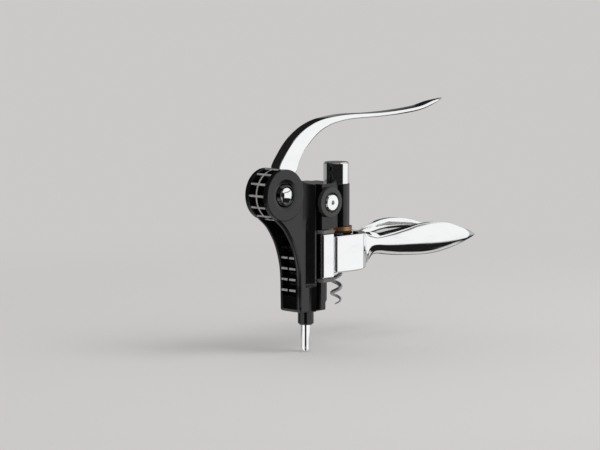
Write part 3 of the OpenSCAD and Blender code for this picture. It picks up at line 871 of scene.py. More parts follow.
class Form:
    """A mesh in the making, in millimetres."""

    def __init__(self) -> None:
        """Starts empty."""
        self.mesh = bmesh.new()

    def loft(
        self, rings: Sequence[Sequence[Point]], round_trip: bool = False, capped: bool = True
    ) -> "Form":
        """Joins closed rings of equal count.

        Args:
            rings: The rings.
            round_trip: Whether the last ring joins the first.
            capped: Whether the two ends are closed.

        Returns:
            The form itself.
        """
        rows = [[self.mesh.verts.new(p) for p in ring] for ring in rings]
        n = len(rows[0])
        pairs = list(zip(rows, rows[1:])) + ([(rows[-1], rows[0])] if round_trip else [])
        for low, high in pairs:
            for i in range(n):
                j = (i + 1) % n
                self.mesh.faces.new((low[i], low[j], high[j], high[i]))
        if capped and not round_trip:
            self.mesh.faces.new(list(reversed(rows[0])))
            self.mesh.faces.new(rows[-1])
        return self

    def lathe(self, profile: Sequence[Flat], place: Placing, turns: int = 72) -> "Form":
        """Turns a profile into a solid.

        Args:
            profile: Radius and height of each point, from axis to axis or as a closed loop.
            place: Puts a point, given across, up and along the axis, into the tool.
            turns: Points round the axis.

        Returns:
            The form itself.
        """
        angles = [2 * math.pi * i / turns for i in range(turns)]
        on_axis = profile[0][0] < 1e-6 and profile[-1][0] < 1e-6
        inner = profile[1:-1] if on_axis else profile
        rings = [[place(r * math.cos(a), r * math.sin(a), h) for a in angles] for r, h in inner]
        start = len(self.mesh.verts)
        self.loft(rings, round_trip=not on_axis, capped=False)
        if on_axis:
            self.mesh.verts.ensure_lookup_table()
            for end, first in ((profile[0], start), (profile[-1], start + (len(inner) - 1) * turns)):
                tip = self.mesh.verts.new(place(0.0, 0.0, end[1]))
                self.mesh.verts.ensure_lookup_table()
                for i in range(turns):
                    pair = self.mesh.verts[first + i], self.mesh.verts[first + (i + 1) % turns]
                    self.mesh.faces.new((pair[0], pair[1], tip))
        return self

    def slab(
        self,
        outline: Sequence[Flat],
        low: float,
        high: float,
        place: Placing,
        ease_low: float | Sequence[float] = 0.3,
        ease_high: float | Sequence[float] = 0.3,
        holes: Sequence[tuple[Sequence[Flat], float]] = (),
        steps: int = 4,
    ) -> "Form":
        """A plate with rounded edges and holes.

        Args:
            outline: The outline, with the plate on its left-hand side.
            low: The lower face's height.
            high: The upper face's height.
            place: Puts a point, given in the plate's plane and height, into the tool.
            ease_low: The lower edge's radius, or one for each point.
            ease_high: The upper edge's radius, or one for each point.
            holes: Loops that run the same way as the outline, each with its own edge radius.
            steps: Steps of each rounded edge.

        Returns:
            The form itself.
        """
        ends = []
        loops = [(outline, ease_low, ease_high, 1.0)]
        loops += [(loop, ease, ease, -1.0) for loop, ease in holes]
        for loop, under, over, sign in loops:
            n = len(loop)
            down = [under] * n if isinstance(under, float) else list(under)
            up = [over] * n if isinstance(over, float) else list(over)
            rows = []
            for t in shares(steps):
                turn = math.pi / 2 * t
                ring = inset(loop, [sign * r * (1 - math.sin(turn)) for r in down])
                lift = 1 - math.cos(turn)
                rows.append([place(x, y, low + r * lift) for (x, y), r in zip(ring, down)])
            for t in shares(steps):
                turn = math.pi / 2 * t
                ring = inset(loop, [sign * r * (1 - math.cos(turn)) for r in up])
                drop = 1 - math.sin(turn)
                rows.append([place(x, y, high - r * drop) for (x, y), r in zip(ring, up)])
            made = [[self.mesh.verts.new(p) for p in row] for row in rows]
            for first, second in zip(made, made[1:]):
                for i in range(n):
                    j = (i + 1) % n
                    self.mesh.faces.new((first[i], first[j], second[j], second[i]))
            flats = [inset(loop, [sign * r for r in radii]) for radii in (down, up)]
            ends.append(((made[0], flats[0]), (made[-1], flats[1])))
        for face in zip(*ends):
            verts = [v for row, _ in face for v in row]
            polygons = [[Vector((x, y, 0.0)) for x, y in flat] for _, flat in face]
            for triangle in tessellate_polygon(polygons):
                corners = [verts[i] for i in triangle]
                if len(set(corners)) == 3:
                    self.mesh.faces.new(corners)
        return self

    def copy_of(self, node: str, ease: float, steps: int = 2, sharp: float = 30.0) -> "Form":
        """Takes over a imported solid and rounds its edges.

        Args:
            node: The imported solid's name.
            ease: The radius of the edges.
            steps: Steps of each rounded edge.
            sharp: The least angle of an edge that is rounded, in degrees.

        Returns:
            The form itself.
        """
        bm = self.mesh
        bm.from_mesh(bpy.data.objects[node].data)
        bmesh.ops.scale(bm, vec=(1 / MM,) * 3, verts=bm.verts)
        bmesh.ops.remove_doubles(bm, verts=bm.verts, dist=0.002)
        bmesh.ops.dissolve_limit(bm, angle_limit=math.radians(1.0), verts=bm.verts, edges=bm.edges)
        bm.normal_update()
        limit = math.radians(sharp)
        edges = [e for e in bm.edges if len(e.link_faces) == 2 and e.calc_face_angle(0.0) > limit]
        bmesh.ops.bevel(
            bm, geom=edges, offset=ease, offset_type="OFFSET", segments=steps, profile=0.5,
            affect="EDGES", clamp_overlap=True, harden_normals=False,
        )
        return self

    def sliced(self, places: Sequence[float], axis: int = 0) -> "Form":
        """Cuts edges across the form, so that its flat faces can bend.

        Args:
            places: The places of the cuts along the axis.
            axis: The axis that the cuts stand across: 0 for X, 2 for Z.

        Returns:
            The form itself.
        """
        bm = self.mesh
        across = Vector([1.0 if k == axis else 0.0 for k in range(3)])
        for place in places:
            whole = [*bm.verts, *bm.edges, *bm.faces]
            bmesh.ops.bisect_plane(bm, geom=whole, plane_co=across * place, plane_no=across)
        return self

    def bent(self, change: Placing) -> "Form":
        """Moves every point.

        Args:
            change: Gives a point its new place.

        Returns:
            The form itself.
        """
        for vertex in self.mesh.verts:
            vertex.co = change(*vertex.co)
        return self

    def combined(self, other: "Form", how: str = "UNION") -> "Form":
        """Joins or cuts with another form, exactly.

        Args:
            other: The form that is used up.
            how: UNION or DIFFERENCE.

        Returns:
            The form itself.
        """
        things = []
        for form in (self, other):
            bmesh.ops.recalc_face_normals(form.mesh, faces=form.mesh.faces)
            data = bpy.data.meshes.new("part")
            form.mesh.to_mesh(data)
            form.mesh.free()
            thing = bpy.data.objects.new("part", data)
            bpy.context.scene.collection.objects.link(thing)
            things.append(thing)
        change = things[0].modifiers.new("join", "BOOLEAN")
        change.operation, change.solver, change.object = how, "EXACT", things[1]
        graph = bpy.context.evaluated_depsgraph_get()
        self.mesh = bmesh.new()
        self.mesh.from_mesh(things[0].evaluated_get(graph).data)
        for thing in things:
            data = thing.data
            bpy.data.objects.remove(thing)
            bpy.data.meshes.remove(data)
        return self


def plan(side: Side) -> Placing:
    """A frame for outlines seen from above.

    Args:
        side: The side whose outward direction is positive.

    Returns:
        A function of forward, outward and up.
    """
    return lambda a, b, h: (a, side.value * b, h)


def sideways(side: Side, cx: float = 0.0, cz: float = 0.0) -> Placing:
    """A frame whose axis points out of one side of the tool.

    Args:
        side: The side.
        cx: The axis's X.
        cz: The axis's Z.

    Returns:
        A function of across, up and along the axis.
    """
    return lambda a, b, h: (cx + a, side.value * h, cz + b)


@dataclass
class Workshop:
    """Turns forms into the scene's pieces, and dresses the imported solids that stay."""

    nodes: dict[str, bpy.types.Object]

    def piece(
        self,
        name: str,
        form: Form,
        finish: Finishes,
        body: Body,
        slot: str,
        stands_for: Sequence[str],
        sharp: float = 42.0,
    ) -> None:
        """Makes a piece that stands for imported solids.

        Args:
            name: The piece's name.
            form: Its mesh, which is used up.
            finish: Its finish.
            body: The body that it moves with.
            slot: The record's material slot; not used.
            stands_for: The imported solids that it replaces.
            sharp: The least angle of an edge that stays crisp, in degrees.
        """
        bm = form.mesh
        bmesh.ops.remove_doubles(bm, verts=bm.verts, dist=0.0005)
        bmesh.ops.dissolve_degenerate(bm, edges=bm.edges, dist=0.0005)
        bmesh.ops.recalc_face_normals(bm, faces=bm.faces)
        bmesh.ops.scale(bm, vec=(MM,) * 3, verts=bm.verts)
        data = bpy.data.meshes.new(name)
        bm.to_mesh(data)
        bm.free()
        data.shade_smooth()
        data.set_sharp_from_angle(angle=math.radians(sharp))
        made = bpy.data.objects.new(name, data)
        bpy.context.scene.collection.objects.link(made)
        weighted = made.modifiers.new("flat faces stay flat", "WEIGHTED_NORMAL")
        weighted.keep_sharp = True
        weighted.weight = 80
        data.materials.append(finish.value.material())
        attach(made, body.value)
        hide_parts(*stands_for)
        LOG.info("made %s: %d faces, for %s", name, len(data.polygons), ", ".join(stands_for))

    def carry(self, node: str, finish: Finishes) -> None:
        """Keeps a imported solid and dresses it.

        Args:
            node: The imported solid's name.
            finish: Its finish.
        """
        kept = self.nodes[node]
        kept.data.materials.clear()
        kept.data.materials.append(finish.value.material())
        LOG.info("kept %s as packed", node)


@dataclass
class BodyFrame:
    """The black body: side plates, spine, collar and screws, and the rim plate with nut and ring."""

    hub: Flat = AXLE
    hub_r: float = 17.6
    hub_face: float = 10.8
    hub_edge: float = 0.7
    hub_margin: float = 0.35
    hub_arc: Flat = (36.0, 224.0)
    dish_r: float = 11.0
    recess_r: float = 8.5
    seat: float = 9.6
    bore: float = 4.55
    # The cap's wall, collar and groove: radius, height over the seat, and softness
    cap: Sequence[Point] = (
        (8.2, 0.05, 0.1), (7.8, 0.6, 0.4), (6.9, 2.1, 0.35), (6.35, 2.5, 0.3), (5.6, 2.25, 0.2),
        (5.35, 1.9, 0.1), (5.2, 2.15, 0.0),
    )
    dome_rise: float = 1.1
    inside: float = 6.9
    face: float = 10.0
    shoulder: float = 2.1
    shoulder_from: Flat = (-44.0, 24.0)
    edge: float = 0.5
    rear: Sequence[Flat] = (
        (-72.66, 18.2), (-66.4, 13.0), (-59.6, 7.2), (-55.2, 1.4), (-51.7, -4.5), (-48.6, -12.5),
        (-46.4, -21.5), (-45.6, -31.5), (-45.4, -42.0), (-45.25, -48.0),
    )
    front: float = -19.0
    foot: float = -51.5
    top: float = 4.2
    web_front: float = -32.8
    web_top: float = 36.0
    hinge: Flat = HINGE
    pin_r: float = 2.02
    ear_out: float = 17.2
    ear_round: float = 1.6
    ear_low: Flat = (-31.3, -29.0)
    ear_high: Flat = (1.9, 4.2)
    ear_span: Flat = (-30.7, -18.3)
    # How far the plate's face swells towards the hinge: under, between and over the ears
    swelling_low: Sequence[Flat] = (
        (-49.0, 0.0), (-37.8, 0.0), (-36.6, 0.06), (-35.5, 0.45), (-34.4, 1.35), (-33.3, 2.5),
        (-32.4, 3.4),
    )
    swelling: Sequence[Flat] = (
        (-49.0, 0.0), (-41.4, 0.0), (-40.2, 0.08), (-39.2, 0.42), (-38.0, 1.0), (-36.6, 1.68),
        (-35.0, 2.4), (-33.6, 3.0), (-32.4, 3.38),
    )
    swelling_high: Sequence[Flat] = (
        (-49.0, 0.0), (-44.2, 0.0), (-43.0, 0.1), (-42.0, 0.32), (-40.0, 0.8), (-38.0, 1.32),
        (-36.0, 1.91), (-34.2, 2.57), (-32.4, 3.35),
    )
    low_span: Flat = (-34.5, -31.9)
    high_span: Flat = (2.0, 14.0)
    ridge: Flat = (-32.7, -32.4)
    crest: float = -33.8
    crest_span: Flat = (-31.8, 4.5)
    # The post's back, front and outer face
    post: Point = (-29.55, -23.85, 14.0)
    post_low: float = -50.7
    screws: Sequence[Flat] = ((-39.8, -46.9), (-22.9, -42.5), (-22.9, -35.0))
    screw_head_r: float = 3.0
    screw_seat: float = 8.3

    def outline(self) -> tuple[list[Flat], list[float]]:
        """The side plate's outline, seen from its side.

        Returns:
            The points and the radius of the outer edge at each.
        """
        hx, hz = self.hub
        hub = arc(hx, hz, self.hub_r - self.hub_margin, *self.hub_arc, 60)
        rear = through(self.rear, 70)[2:]
        low = rounded(
            [
                (*rear[-1], 0.0), (-45.1, self.foot, 2.6), (self.front - 4.5, self.foot, 1.2),
                (self.front, self.foot + 7.0, 2.0), (self.front, self.top, 0.5),
                (self.web_front, self.top, 0.0), (self.web_front, self.web_top, 1.0),
                (-38.9, 36.9, 8.0), (*hub[0], 0.0),
            ],
            closed=False,
        )[1:-1]
        points = hub + rear + low
        radii = []
        for x, z in points:
            behind = x < self.shoulder_from[0] and z < self.shoulder_from[1]
            radii.append(self.shoulder if behind else self.edge)
        near = range(-4, 5)
        n = len(radii)
        return points, [sum(radii[(i + k) % n] for k in near) / len(near) for i in range(n)]

    def hub_form(self, side: Side) -> Form:
        """The raised hub with its dished face and deep ring round the cap's seat.

        Args:
            side: The side.

        Returns:
            The form.
        """
        profile = rounded([
            (self.bore, self.inside + 0.04, 0.2), (self.hub_r, self.inside + 0.04, 0.3),
            (self.hub_r, self.hub_face, self.hub_edge), (self.dish_r, self.hub_face, 0.5),
            (self.recess_r, self.hub_face - 0.4, 0.15), (self.recess_r, self.seat, 0.2),
            (self.bore, self.seat, 0.1),
        ])
        return Form().lathe(profile, sideways(side, *self.hub), 120)

    def cap_form(self, side: Side) -> Form:
        """The axle's cap: a leaning wall, a round collar, a groove and a dome.

        Args:
            side: The side.

        Returns:
            The form.
        """
        (dome_r, foot, _), base = self.cap[-1], (0.0, self.cap[0][1], 0.0)
        wall = rounded([(r, self.seat + h, soft) for r, h, soft in (base, *self.cap)], closed=False)
        ball = (dome_r**2 + self.dome_rise**2) / (2 * self.dome_rise)
        lean = math.asin(dome_r / ball)
        top = self.seat + foot + self.dome_rise
        for t in shares(18, 1):
            turn = lean * (1 - t)
            wall.append((ball * math.sin(turn), top - ball * (1 - math.cos(turn))))
        return Form().lathe(wall, sideways(side, *self.hub), 96)

    def ear_form(self, side: Side, span: Flat) -> Form:
        """An ear that carries the hinge pin.

        Args:
            side: The side.
            span: Its lower and upper heights.

        Returns:
            The form.
        """
        (back, ahead), out, turn = self.ear_span, self.ear_out, self.ear_round
        inner = self.face - 1.0
        outline = rounded(
            [(back, inner, 0.0), (ahead, inner, 0.0), (ahead, out, turn), (back, out, turn)]
        )
        hole = arc(*self.hinge, self.pin_r, 0.0, 352.5, 47)
        return Form().slab(outline, *span, plan(side), 0.35, 0.35, [(hole, 0.15)])

    def swell(self, x: float, z: float) -> float:
        """How far the plate's face stands out beyond its flat.

        Args:
            x: The place along the plate.
            z: The height.

        Returns:
            The offset.
        """
        middle, up = eased(z, *self.low_span), eased(z, *self.high_span)
        low, high = self.crest_span
        flat = held(z - low) * held(high - z)
        rise = 0.0
        for points, share in (
            (self.swelling_low, 1 - middle), (self.swelling, middle - up), (self.swelling_high, up),
        ):
            line = Line(points)
            rise += share * (line.at(x) + (line.at(min(x, self.crest)) - line.at(x)) * flat)
        return rise * (1 - held((x - self.ridge[0]) / (self.ridge[1] - self.ridge[0])))

    def post_form(self, side: Side) -> Form:
        """The upright post under the hinge.

        Args:
            side: The side.

        Returns:
            The form.
        """
        back, ahead, out = self.post
        inner = self.face - 1.0
        outline = rounded(
            [(back, inner, 0.0), (ahead, inner, 0.0), (ahead, out, 1.3), (back, out, 1.0)]
        )
        return Form().slab(outline, self.post_low, self.ear_low[0] + 1.0, plan(side), 0.9, 0.0)

    def plate(self, side: Side) -> Form:
        """One side plate.

        Args:
            side: The side.

        Returns:
            The form.
        """
        points, radii = self.outline()
        bore = arc(*self.hub, self.bore + 6.0, 0.0, 355.0, 71)
        form = Form().slab(
            points, self.inside, self.face, sideways(side), 0.4, radii, [(bore, 0.05)], steps=7
        )
        first, last = self.swelling_high[1][0], self.ridge[0]
        cuts = [first + (last - first) * t for t in shares(40)]
        form.sliced([*cuts, self.crest, self.ridge[0] + 0.06, self.ridge[1] - 0.06, self.ridge[1]])
        low, high = self.crest_span
        levels = [low, low + 1.0, high - 1.0, high]
        for start, end in (self.low_span, self.high_span):
            levels += [start + (end - start) * t for t in shares(8)]
        form.sliced(levels, 2)
        depth = self.face - self.inside

        def out(x: float, y: float, z: float) -> Point:
            """Lifts the outer face by the swelling."""
            share = held(((abs(y) - self.inside) / depth - 0.2) / 0.8)
            return (x, y + side.value * share * self.swell(x, z), z)

        form = form.bent(out).combined(self.hub_form(side))
        for span in (self.ear_low, self.ear_high):
            form = form.combined(self.ear_form(side, span))
        form = form.combined(self.post_form(side))
        if side is Side.LEFT:
            low, high, r = self.screw_seat, self.face + 10.0, self.screw_head_r
            for x, z in self.screws:
                outline = [(0.0, low), (r, low), (r, high), (0.0, high)]
                seat = Form().lathe(outline, sideways(side, x, z), 48)
                form = form.combined(seat, "DIFFERENCE")
        return form

    def build(self, shop: Workshop) -> None:
        """Builds the body.

        Args:
            shop: The workshop.
        """
        for side in Side:
            pin = f"hinge_pin_{side.word}"
            for name, form, finish, slot, node in (
                ("plate", self.plate(side), Finishes.BODY, "black_paint", f"side_plate_{side.word}"),
                ("cap", self.cap_form(side), Finishes.CAP, "chrome_cap", f"axle_cap_{side.word}"),
                ("pin", Form().copy_of(pin, 0.3, 3), Finishes.PIN, "pin_steel", pin),
            ):
                shop.piece(f"{name}_{side.word}", form, finish, Body.FRAME, slot, [node])
        for node, name, finish, slot, ease in (
            ("frame_spine", "spine", Finishes.GLOSS, "black_paint", 0.6),
            ("rod_collar", "collar", Finishes.GLOSS, "black_gloss", 0.5),
            ("frame_screws", "screws", Finishes.PIN, "tooth_steel", 0.15),
            ("nut_plate", "rim_plate", Finishes.BRONZE, "bronze", 0.3),
            ("rim_seat", "rim_ring", Finishes.RUBBER, "rubber", 0.3),
            ("nut_screws", "plate_screws", Finishes.PIN, "tooth_steel", 0.1),
        ):
            form = Form().copy_of(node, ease, 3)
            shop.piece(name, form, finish, Body.FRAME, slot, [node])
        shop.carry("drive_nut", Finishes.BUSH)
        shop.carry("hub_axle", Finishes.PIN)


@dataclass
class LeverUnit:
    """The chrome lever with the gear that it turns."""

    # The upper and lower edges and the half width, over the place forward of the axle
    top: Sequence[Flat] = (
        (0.9, 12.9), (0.5, 18.5), (6.3, 27.0), (13.4, 34.8), (20.8, 40.4), (30.0, 45.2), (41.2, 48.6),
        (55.4, 50.4), (69.6, 51.0), (97.8, 50.7), (119.0, 51.4), (140.2, 53.2), (154.4, 56.2),
        (166.2, 57.7),
    )
    under: Sequence[Flat] = (
        (10.4, 8.6), (17.0, 14.6), (20.2, 21.5), (24.6, 28.2), (28.6, 32.0), (34.5, 37.0), (41.6, 41.4),
        (48.8, 44.2), (56.0, 46.0), (69.6, 47.6), (97.8, 48.0), (119.0, 48.7), (140.2, 50.5),
        (154.4, 53.5), (164.6, 56.6),
    )
    widths: Sequence[Flat] = (
        (0.0, 4.3), (24.0, 4.3), (48.0, 4.5), (66.0, 5.1), (83.0, 5.5), (117.0, 5.5), (144.6, 4.4),
        (160.6, 2.3), (166.5, 0.8),
    )
    stations: int = 150
    top_edge: float = 0.55
    low_edge: float = 1.3
    crown: float = 0.3
    full_w: float = 5.5

    def section(self, half_w: float, half_h: float) -> list[Flat]:
        """The lever's cross section: flat top, flat sides and a rounder underside.

        Args:
            half_w: Half the width.
            half_h: Half the height.

        Returns:
            Across and up of each point, round the section.
        """
        top = min(self.top_edge, half_h * 0.6, half_w * 0.6)
        low = min(self.low_edge, half_h * 0.85, half_w * 0.8)
        crown = self.crown * half_w / self.full_w
        corners = [
            (-half_w, -half_h, low), (0.0, -half_h - crown * 2, 0.0), (half_w, -half_h, low),
            (half_w, half_h, top), (0.0, half_h + crown, 0.0), (-half_w, half_h, top),
        ]
        return rounded(corners, True, 5)

    def blade(self) -> Form:
        """The lever's body.

        Returns:
            The form.
        """
        upper = through(self.top, self.stations)
        lower = through(self.under, self.stations)
        width = Line(self.widths)
        rings = []
        for (ux, uz), (lx, lz) in zip(upper, lower):
            height = math.hypot(ux - lx, uz - lz)
            ax, az = (ux - lx) / height, (uz - lz) / height
            mx, mz = AXLE[0] + (ux + lx) / 2, AXLE[1] + (uz + lz) / 2
            ring = self.section(width.at((ux + lx) / 2), height / 2)
            rings.append([(mx + ax * v, u, mz + az * v) for u, v in ring])
        return Form().loft(rings)

    def build(self, shop: Workshop) -> None:
        """Builds the lever and its gear.

        Args:
            shop: The workshop.
        """
        shop.piece("lever_arm", self.blade(), Finishes.CHROME, Body.LEVER, "chrome_lever", ["lever"])
        form = Form().copy_of("drive_gear", 0.18, 2)
        shop.piece("gear", form, Finishes.GEAR, Body.LEVER, "tooth_steel", ["drive_gear"])
        shop.carry("gear_bush", Finishes.BUSH)
        shop.carry("lever_pins", Finishes.PIN)


@dataclass
class CarriageUnit:
    """The block that carries the worm up and down, with its rack, sleeve and rod."""

    nose_r: float = 9.3
    nose_back: float = -8.6
    ring: Flat = (-21.6, 23.0)
    ring_r: Flat = (6.8, 10.3)
    ring_seat: float = 15.6
    ring_lean: float = 0.12

    def block(self) -> Form:
        """The block, whose nose is round where it stands clear of the ribs.

        Returns:
            The form.
        """

        def turned(x: float, y: float, z: float) -> Point:
            """Draws what stands out of the round nose back to it."""
            if not self.nose_back + 0.05 < x < 0.0 or math.hypot(x, y) < self.nose_r:
                return (x, y, z)
            return (x, math.copysign(math.sqrt(self.nose_r**2 - x * x), y), z)

        cuts = [self.nose_back + 0.06 + 0.36 * i for i in range(24)]
        return Form().copy_of("carriage", 0.5, 3).sliced(cuts).bent(turned)

    def ring_form(self, node: str) -> Form:
        """A ring whose face falls away to its edge.

        Args:
            node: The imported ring's name.

        Returns:
            The form.
        """

        def leaning(x: float, y: float, z: float) -> Point:
            """Lowers the face towards its outer edge."""
            far = math.hypot(x - self.ring[0], z - self.ring[1])
            drop = self.ring_lean * max(0.0, far - self.ring_r[0]) if abs(y) > self.ring_seat else 0.0
            return (x, y - math.copysign(drop, y), z)

        return Form().copy_of(node, 0.4, 3).bent(leaning)

    def build(self, shop: Workshop) -> None:
        """Builds the carriage.

        Args:
            shop: The workshop.
        """
        for node, name, finish, slot, ease in (
            ("rack", "toothed_rack", Finishes.RACK, "tooth_steel", 0.18),
            ("guide_rod", "rod", Finishes.SLEEVE, "chrome_rod", 0.4),
            ("top_sleeve", "sleeve", Finishes.SLEEVE, "chrome_sleeve", 0.35),
            ("latch_bolt_left", "bolt_left", Finishes.CHROME, "chrome_cap", 0.15),
            ("latch_bolt_right", "bolt_right", Finishes.CHROME, "chrome_cap", 0.15),
        ):
            form = Form().copy_of(node, ease, 3)
            shop.piece(name, form, finish, Body.CARRIAGE, slot, [node])
        finish, slot = Finishes.CARRIAGE, "carriage_black"
        shop.piece("carriage_block", self.block(), finish, Body.CARRIAGE, slot, ["carriage"])
        for side in Side:
            node = f"boss_ring_{side.word}"
            form = self.ring_form(node)
            shop.piece(f"ring_{side.word}", form, Finishes.RING, Body.CARRIAGE, "ring_grey", [node])
        shop.carry("rack_pins", Finishes.PIN)
        shop.carry("thrust_washers", Finishes.BUSH)


@dataclass
class WormUnit:
    """The worm and its round head."""

    def build(self, shop: Workshop) -> None:
        """Builds the worm.

        Args:
            shop: The workshop.
        """
        shop.carry("worm", Finishes.WORM)


@dataclass
class GripUnit:
    """A chrome grip with its jaw, and the soft pad in the jaw."""

    side: Side
    inner_r: float = 15.75
    jaw_r: float = 17.5
    jaw_x: float = 4.4
    jaw_back: float = -17.4
    tail: float = 8.0
    slit: float = 0.8
    jaw_low: float = -25.8
    jaw_high: float = -0.5
    hinge: Flat = HINGE
    barrel_r: float = 3.2
    knuckle: Flat = (-28.7, 1.6)
    pin_bore: float = 2.05
    link_out: float = 14.6
    # The handle seen from above: its outer and inner faces, over the place forward
    outer: Sequence[Flat] = (
        (11.5, 16.08), (12.0, 15.8), (13.0, 15.28), (14.0, 14.66), (15.0, 14.0), (16.0, 13.48),
        (17.0, 13.14), (18.0, 12.95), (20.0, 12.9), (24.0, 13.4), (36.0, 16.0), (50.0, 19.2),
        (60.0, 21.2), (72.0, 22.5), (90.0, 22.4), (108.0, 20.2), (122.0, 16.6), (129.0, 13.4),
    )
    inner: Sequence[Flat] = (
        (12.0, 10.6), (13.0, 9.6), (14.0, 8.9), (16.0, 8.6), (18.0, 8.5), (24.0, 9.2), (36.0, 11.6),
        (50.0, 14.8), (60.0, 16.8), (72.0, 18.1), (90.0, 18.0), (108.0, 15.8), (122.0, 13.2),
        (129.0, 12.0),
    )
    # Seen from the side: the outer face's upper edge, the inner face's, the two creases, the foot
    upper: Sequence[Flat] = (
        (12.0, -0.7), (16.0, -1.2), (20.0, -2.7), (23.8, -3.8), (27.0, -4.5), (33.0, -3.9),
        (42.3, -2.3), (51.5, -0.4), (61.0, 1.8), (72.0, 2.6), (80.0, 2.4), (86.0, 1.9), (92.0, 1.0),
        (98.5, -0.7), (110.0, -4.2), (120.0, -7.4), (126.0, -9.4), (129.0, -10.5),
    )
    crown: Sequence[Flat] = (
        (12.0, -0.6), (20.0, -0.8), (25.6, -1.3), (29.3, -2.0), (33.0, -1.9), (36.7, -1.3), (45.8, 0.0),
        (55.3, 1.1), (62.0, 2.0), (72.0, 2.65), (80.0, 2.4), (86.0, 1.9), (92.0, 1.0), (98.5, -0.7),
        (110.0, -4.2), (120.0, -7.4), (126.0, -9.4), (129.0, -10.5),
    )
    crease: Sequence[Flat] = (
        (12.0, -24.2), (15.5, -23.6), (16.6, -22.8), (17.3, -20.8), (18.1, -17.8), (19.4, -14.8),
        (21.5, -12.1), (23.6, -11.1), (26.0, -10.7), (29.5, -10.8), (33.0, -11.3), (42.3, -12.0),
        (56.3, -12.5), (71.0, -12.9), (82.5, -13.0), (94.3, -12.7), (110.0, -11.9), (120.0, -11.3),
        (129.0, -10.65),
    )
    second: Sequence[Flat] = (
        (12.0, -24.9), (16.5, -24.3), (18.4, -23.2), (19.4, -21.9), (21.6, -19.3), (23.2, -16.4),
        (25.5, -13.9), (28.9, -13.5), (34.3, -14.0), (40.0, -14.5), (51.5, -15.5), (63.3, -16.2),
        (72.5, -16.5), (84.0, -16.6), (90.4, -16.4), (97.0, -15.9), (104.0, -14.9), (112.0, -13.4),
        (120.0, -12.1), (129.0, -10.8),
    )
    lower: Sequence[Flat] = (
        (12.0, -25.3), (16.0, -24.9), (18.6, -24.0), (20.5, -22.8), (22.5, -21.1), (24.0, -19.4),
        (24.9, -18.1), (26.8, -17.2), (30.6, -17.1), (36.0, -17.9), (45.2, -18.9), (53.3, -19.3),
        (65.3, -19.9), (72.0, -20.0), (78.6, -19.8), (86.3, -19.2), (92.9, -18.4), (105.0, -16.0),
        (117.0, -13.3), (129.0, -11.0),
    )
    # How deep the inner face is hollowed
    dish: Sequence[Flat] = (
        (12.0, 0.0), (26.0, 0.0), (40.0, 1.2), (58.0, 2.1), (100.0, 2.1), (118.0, 0.8), (129.0, 0.0),
    )
    dish_top: float = 0.78
    toe_lift: float = 1.1
    toe_span: Flat = (2.0, 17.0)
    toe_deep: Flat = (-15.0, -25.0)
    root: float = 12.0
    root_cuts: int = 43
    root_step: float = 0.35
    tip: float = 128.9
    stations: int = 110
    soft: float = 0.45
    soft_share: float = 0.12
    bulge: float = 0.14
    bulge_at: float = 0.4
    under_turn: Flat = (30.0, 80.0)

    def jaw(self) -> Form:
        """The jaw, an upright half round strap.

        Returns:
            The form.
        """
        start = math.degrees(math.asin(self.slit / self.jaw_r))
        outside = arc(self.jaw_x, 0.0, self.jaw_r, start, 90.0, 30)
        first = math.degrees(math.asin(self.tail / self.inner_r))
        last = math.degrees(math.asin(self.slit / self.inner_r))
        inside = arc(0.0, 0.0, self.inner_r, 180.0 - first, last, 60)
        corners = rounded(
            [
                (self.jaw_x, self.jaw_r, 0.0), (self.jaw_back, self.jaw_r, 1.2),
                (self.jaw_back, self.tail, 0.8), (*inside[0], 0.0),
            ],
            closed=False,
        )
        points = outside + corners[1:-1] + inside
        radii = [0.9] * (len(outside) + len(corners) - 2) + [0.3] * len(inside)
        form = Form().slab(points, self.jaw_low, self.jaw_high, plan(self.side), radii, radii, steps=6)
        shallow, deep = self.toe_deep

        def lifted(x: float, y: float, z: float) -> Point:
            """Lifts the strap's lower edge towards the front."""
            depth = held((z - shallow) / (deep - shallow))
            return (x, y, z + self.toe_lift * eased(x, *self.toe_span) * depth)

        return form.sliced([0.5 * i for i in range(5, 44)]).bent(lifted)

    def knuckle_form(self) -> Form:
        """The knuckle between the ears: a barrel under a square block.

        Returns:
            The form.
        """
        x, y = self.hinge
        back, ahead, out = x - 5.5, x + 5.5, 17.0
        barrel = [(*point, 0.0) for point in arc(x, y, self.barrel_r, 190.0, 350.0, 24)]
        block = [(ahead, y, 0.4), (ahead, out, 1.1), (back, out, 1.1), (back, y, 0.4)]
        outline = rounded(barrel + block)
        hole = arc(x, y, self.pin_bore, 0.0, 352.5, 47)
        return Form().slab(outline, *self.knuckle, plan(self.side), 0.8, 0.8, [(hole, 0.15)], steps=6)

    def link(self) -> Form:
        """The recessed link between knuckle and jaw.

        Returns:
            The form.
        """
        x, y, out = self.hinge[0] + 5.0, self.hinge[1] - 1.4, self.link_out
        far = self.jaw_back + 1.0
        outline = rounded([(x, y, 0.4), (far, y, 0.0), (far, out, 0.0), (x, out, 0.4)])
        low, high = self.jaw_low + 0.05, self.jaw_high - 0.05
        return Form().slab(outline, low, high, plan(self.side), 0.3, 0.3)

    def ring(self, x: float, lines: Sequence[Line]) -> list[Point]:
        """The handle's section at one place.

        Args:
            x: The place along the handle.
            lines: The curves of outer, inner, upper, crown, crease, second, lower and dish.

        Returns:
            The ring of points.
        """
        out, inn, top, crown, crease, second, low, dish = (line.at(x) for line in lines)
        soft = min(self.soft, self.soft_share * (crown - low))
        lean = self.bulge / max((top - crease) / 2, 0.6)
        middle = crease + (top - crease) * self.bulge_at

        def face(z: float) -> float:
            """How far out the bulging outer face stands at a height."""
            return out - lean * (z - middle) ** 2 / 2

